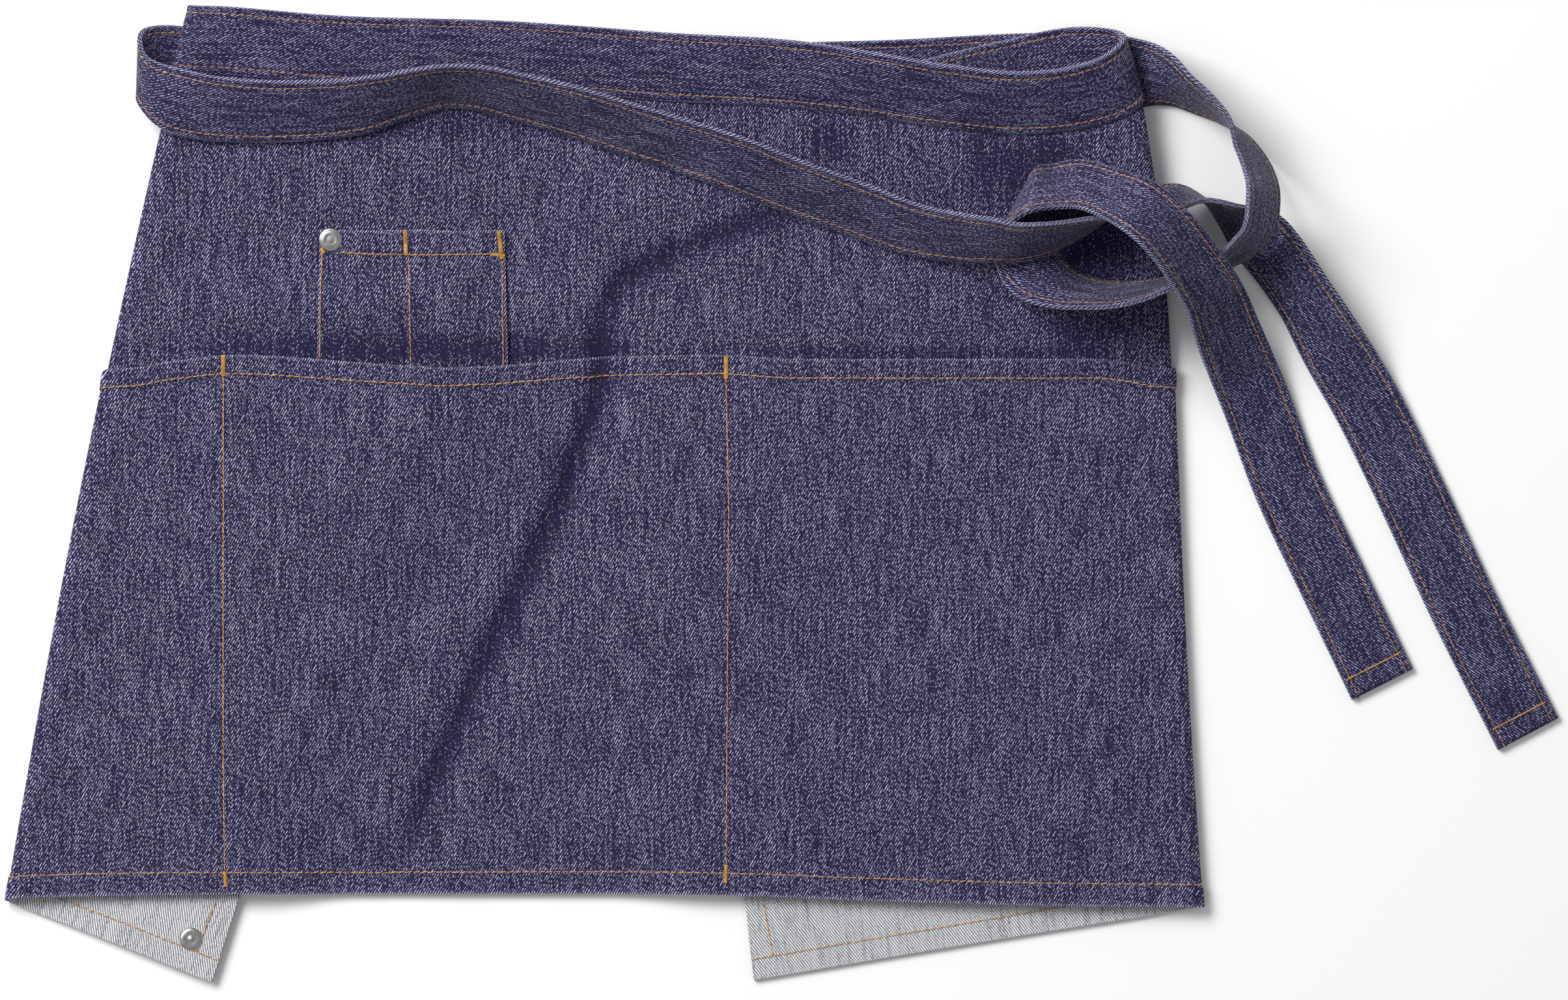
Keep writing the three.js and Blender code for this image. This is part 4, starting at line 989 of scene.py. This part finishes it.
tree_of_pen, tree_of_pocket = tree_of(pen_pocket), tree_of(pocket)
x, y = (part * SPREAD for part in PEN_RIVET)
high, low = seen_down(tree_of_pen, x, y)[0].z - 0.0004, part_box("pen_pocket_rivet")[0].z + 0.0011
rivet("pen_rivet", "pen_pocket_rivet", x, y, RIVET_CAP_RING, RIVET_BURR_RING, high, low)
x, y = (part * SPREAD for part in CORNER_RIVET)
high, low = seen_down(tree_of_body, x, y)[0].z - 0.0001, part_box("corner_rivet")[0].z + 0.0016
rivet("flap_rivet", "corner_rivet", x, y, RIVET_BURR_RING, RIVET_CAP_RING, high, low)


# ---- Topstitching
# Golden thread holds every hem, edge and divider, in stitches of about 3.6 mm that bite into the denim.
# Each stitch is a slim bead of thread laid on its seam, a little turned and uneven.
SHORT_STITCH = 0.0033
VIEW_STEP = 0.0003
VIEW_MIDDLE = (1203, 757)


def thread(name, dark, light, rough):
    """Sewing thread of uneven colour, with its ply as fine bumps."""
    material, tree, shader = new_material(name)
    place = Wire(tree, tree.nodes.new("ShaderNodeTexCoord").outputs["Object"])
    tone = place.noise(place, detail=1.0, scale=260.0)
    ply = place.noise(place, detail=2.0, scale=2300.0)
    share = ((tone - 0.5) * 1.6 + (ply - 0.5) * 1.8 + 0.5).clamped()
    tree.links.new(place.mixed(share, (*dark, 1), (*light, 1)).out, shader.inputs["Base Color"])
    bump = place.node("ShaderNodeBump", {}, {"Strength": 0.6, "Distance": 0.00015, "Height": ply})
    tree.links.new(bump.out, shader.inputs["Normal"])
    tree.links.new((ply * 0.2 + rough).out, shader.inputs["Roughness"])
    shader.inputs["Sheen Weight"].default_value = 0.2
    return material


golden = thread("golden_thread", (0.30, 0.125, 0.025), (0.68, 0.38, 0.14), 0.45)
copper = thread("copper_thread", (0.24, 0.09, 0.03), (0.58, 0.30, 0.13), 0.45)
tack_gold = thread("tack_thread", (0.34, 0.15, 0.018), (0.62, 0.33, 0.06), 0.4)

sewing = bpy.data.node_groups.new("sewn_thread", "GeometryNodeTree")
sewing.interface.new_socket("Geometry", in_out="INPUT", socket_type="NodeSocketGeometry")
sockets = [
    sewing.interface.new_socket(name, in_out="INPUT", socket_type=kind)
    for name, kind in (
        ("Length", "NodeSocketFloat"), ("Thickness", "NodeSocketFloat"), ("Slant", "NodeSocketFloat"),
        ("Seed", "NodeSocketInt"), ("Thread", "NodeSocketMaterial"),
    )
]
sewing.interface.new_socket("Geometry", in_out="OUTPUT", socket_type="NodeSocketGeometry")
asked = sewing.nodes.new("NodeGroupInput")
places, long, thick, slant, seed, colour = (Wire(sewing, asked.outputs[k]) for k in range(6))
size = long.point(thick * 0.5, thick * 0.5, long * 0.5)
bead = size.node("GeometryNodeMeshUVSphere", {}, {"Segments": 6, "Rings": 5, "Radius": 1.0})
lengthwise = {"Geometry": bead, "Rotation": (0, math.pi / 2, 0), "Scale": size}
lying = bead.node("GeometryNodeTransform", {}, lengthwise)
smooth = lying.node("GeometryNodeSetShadeSmooth", {}, {0: lying})
way, up = (
    size.node("GeometryNodeInputNamedAttribute", {"data_type": "FLOAT_VECTOR"}, {"Name": name})
    for name in ("way", "up")
)
laid = way.node("FunctionNodeAxesToRotation", {"primary_axis": "X", "secondary_axis": "Z"}, {0: way, 1: up})
between = {"Min": -0.07, "Max": 0.07, "Seed": seed}
off_line = seed.node("FunctionNodeRandomValue", {"data_type": "FLOAT"}, between, give="Value")
turn = slant.node("FunctionNodeEulerToRotation", {}, {0: slant.point(0.0, 0.0, off_line + slant)})
final_turn = laid.node("FunctionNodeRotateRotation", {"rotation_space": "LOCAL"}, {0: laid, 1: turn})
between = {"Min": (0.92, 0.85, 0.85), "Max": (1.05, 1.12, 1.12), "Seed": seed}
uneven = seed.node("FunctionNodeRandomValue", {"data_type": "FLOAT_VECTOR"}, between, give="Value")
set_by = {"Points": places, "Instance": smooth, "Rotation": final_turn, "Scale": uneven}
stitches = smooth.node("GeometryNodeInstanceOnPoints", {}, set_by)
real = stitches.node("GeometryNodeRealizeInstances", {}, {0: stitches})
dyed = real.node("GeometryNodeSetMaterial", {}, {"Geometry": real, "Material": colour})
sewing.links.new(dyed.out, sewing.nodes.new("NodeGroupOutput").inputs[0])


def spaced(points, ups, pitch):
    """Stitch places along a line, with the line's way and the cloth's face at each."""
    run = lengths_along(points)
    at = np.arange(pitch / 2, run[-1], pitch)

    def read(values, where):
        return np.column_stack([np.interp(where, run, values[:, k]) for k in range(3)])

    way = read(points, at + pitch / 3) - read(points, at - pitch / 3)
    return read(points, at), unit(way), unit(read(ups, at))


def sew(name, runs, length, thickness, slant, seed, material):
    """Sews stitches of one length, thickness and slant at the places of several runs, as one plain mesh."""
    places, ways, ups = (np.vstack([run[k] for run in runs]) for k in range(3))
    places[:, 2] = np.maximum(places[:, 2], thickness * 0.6)
    mesh = bpy.data.meshes.new(name + "_places")
    mesh.from_pydata(places.tolist(), [], [])
    for key, values in (("way", ways), ("up", ups)):
        stored = mesh.attributes.new(key, "FLOAT_VECTOR", "POINT")
        stored.data.foreach_set("vector", values.astype(np.float32).ravel())
    made = placed(name, mesh)
    sewn_by = made.modifiers.new("sewn", "NODES")
    sewn_by.node_group = sewing
    for socket, value in zip(sockets, (length, thickness, slant, seed, material), strict=True):
        sewn_by[socket.identifier] = value
    finished = bpy.data.meshes.new_from_object(made.evaluated_get(bpy.context.evaluated_depsgraph_get()))
    made.modifiers.clear()
    made.data = finished
    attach(made, "root")


def dropped(tree, places, lift):
    """Points of a line on the face of a piece, seen from above, with that face's way up."""
    hits = [seen_down(tree, x, y) for x, y in places]
    keep = [(hit[0] + hit[1] * lift, hit[1]) for hit in hits if hit[0] is not None]
    return np.array([tuple(p) for p, _ in keep]), np.array([tuple(n) for _, n in keep])


def place_seen(across, down):
    """A place in metres, from its steps of 0.3 mm across and down the view from the upper left."""
    return ((across - VIEW_MIDDLE[0]) * VIEW_STEP, (VIEW_MIDDLE[1] - down) * VIEW_STEP)


def line_between(places, step=0.002):
    """Points along straight runs between places of the view."""
    p = np.array([place_seen(*place) for place in places])
    run = lengths_along(p)
    at = np.arange(0, run[-1] + step / 2, step)
    return np.column_stack([np.interp(at, run, p[:, k]) for k in range(2)])


outer_row = int(np.argmin(np.abs(pocket_share * POCKET_DEPTH - (POCKET_DEPTH - MOUTH_SEAM))))
hem_row = int(np.argmin(np.abs(pocket_share * POCKET_DEPTH - HEM_SEAM)))
pocket_up = grid_normals(pocket_outer)
body_runs = [
    spaced(pocket_outer[:, row] + pocket_up[:, row] * 0.00012, pocket_up[:, row], STITCH)
    for row in (outer_row, hem_row)
]
inner_row = int(np.argmin(np.abs(body_rows - INNER_SEAM)))
inner_up = -body_normal[:, inner_row]
body_runs.append(spaced(body_middle[:, inner_row] + inner_up * (CLOTH / 2 + 0.0001), inner_up, STITCH))
for side in ([(300, 1462), (333, 1380)], [(1187, 1468), (1171, 1378)]):
    body_runs.append(spaced(*dropped(tree_of_body, line_between(side), 0.0001), STITCH))
for divider in ([(343, 578), (343, 1152), (345, 1352)], [(1115, 578), (1119, 768), (1115, 1352)]):
    body_runs.append(spaced(*dropped(tree_of_pocket, line_between(divider), 0.0001), SHORT_STITCH))
for row in (
    [(495, 388), (493, 440), (491, 562)], [(628, 394), (631, 566)], [(771, 400), (773, 566)],
    [(522, 387), (560, 390), (627, 391), (690, 391), (760, 390)],
):
    body_runs.append(spaced(*dropped(tree_of_pen, line_between(row), 0.0001), SHORT_STITCH))
sew("body_stitching", body_runs, STITCH, 0.00068, 0.13, 3, golden)


def strap_rows(middle, way, face, depth):
    """The rows along both edges of a strap, on both of its faces."""
    runs = []
    for side in (-1, 1):
        for up in (-1, 1):
            line = middle + way * side * (STRAP_WIDTH / 2 - STITCH_EDGE) + face * up * depth
            runs.append(spaced(line, face * up, STITCH))
    return runs


band_runs = strap_rows(band_middle, band_way, band_face, 0.00136)
sew("waistband_stitching", band_runs, 0.0034, 0.00062, 0.1, 5, copper)
for name, seed in (("left_tie", 7), ("right_tie", 11)):
    middle, way, face = ties[name]
    sew(name + "_stitching", strap_rows(middle, way, face, 0.00106), 0.0034, 0.00062, 0.1, seed, copper)


# ---- Bar tacks
# Close zigzag rows in the thicker golden thread lock the ends of the dividers, the pen pocket and the ties.
TACK_PITCH = 0.00042
END_TACK = 0.0095


def tack(tree, start, end, lift=0.00035):
    """A bar tack's crosswise stitches between two places of the view, on the piece under them."""
    places, ups = dropped(tree, line_between([start, end], 0.0004), lift)
    where, along, up = spaced(places, ups, TACK_PITCH)
    return where, unit(np.cross(up, along)), up


tacks = [
    tack(tree_of_pocket, (343, 543), (343, 578)), tack(tree_of_pocket, (1115, 547), (1115, 581)),
    tack(tree_of_pen, (622, 354), (624, 391)), tack(tree_of_pen, (766, 356), (771, 398)),
]
sew("divider_tacks", tacks, 0.0023, 0.0006, 0.0, 13, tack_gold)
small_tacks = [
    tack(tree_of_pocket, (345, 1338), (347, 1362)), tack(tree_of_pocket, (1115, 1328), (1114, 1356)),
    tack(tree_of_pen, (493, 381), (499, 389)), tack(tree_of_pen, (755, 390), (777, 393)),
]
for name in ("left_tie", "right_tie"):
    middle, way, face = ties[name]
    run = lengths_along(middle)
    k = int(np.argmin(np.abs(run - (run[-1] - END_TACK))))
    across = np.linspace(-1, 1, 70)[:, None] * (STRAP_WIDTH / 2 - 0.0022)
    up = face[k] if face[k][2] > 0 else -face[k]
    line = middle[k] + across * way[k] + up * 0.0014
    where, along, ups = spaced(line, np.repeat(up[None], len(across), axis=0), 0.0011)
    small_tacks.append((where, unit(along + 0.35 * np.cross(up, along)), ups))
sew("small_tacks", small_tacks, 0.0019, 0.0006, 0.0, 17, tack_gold)
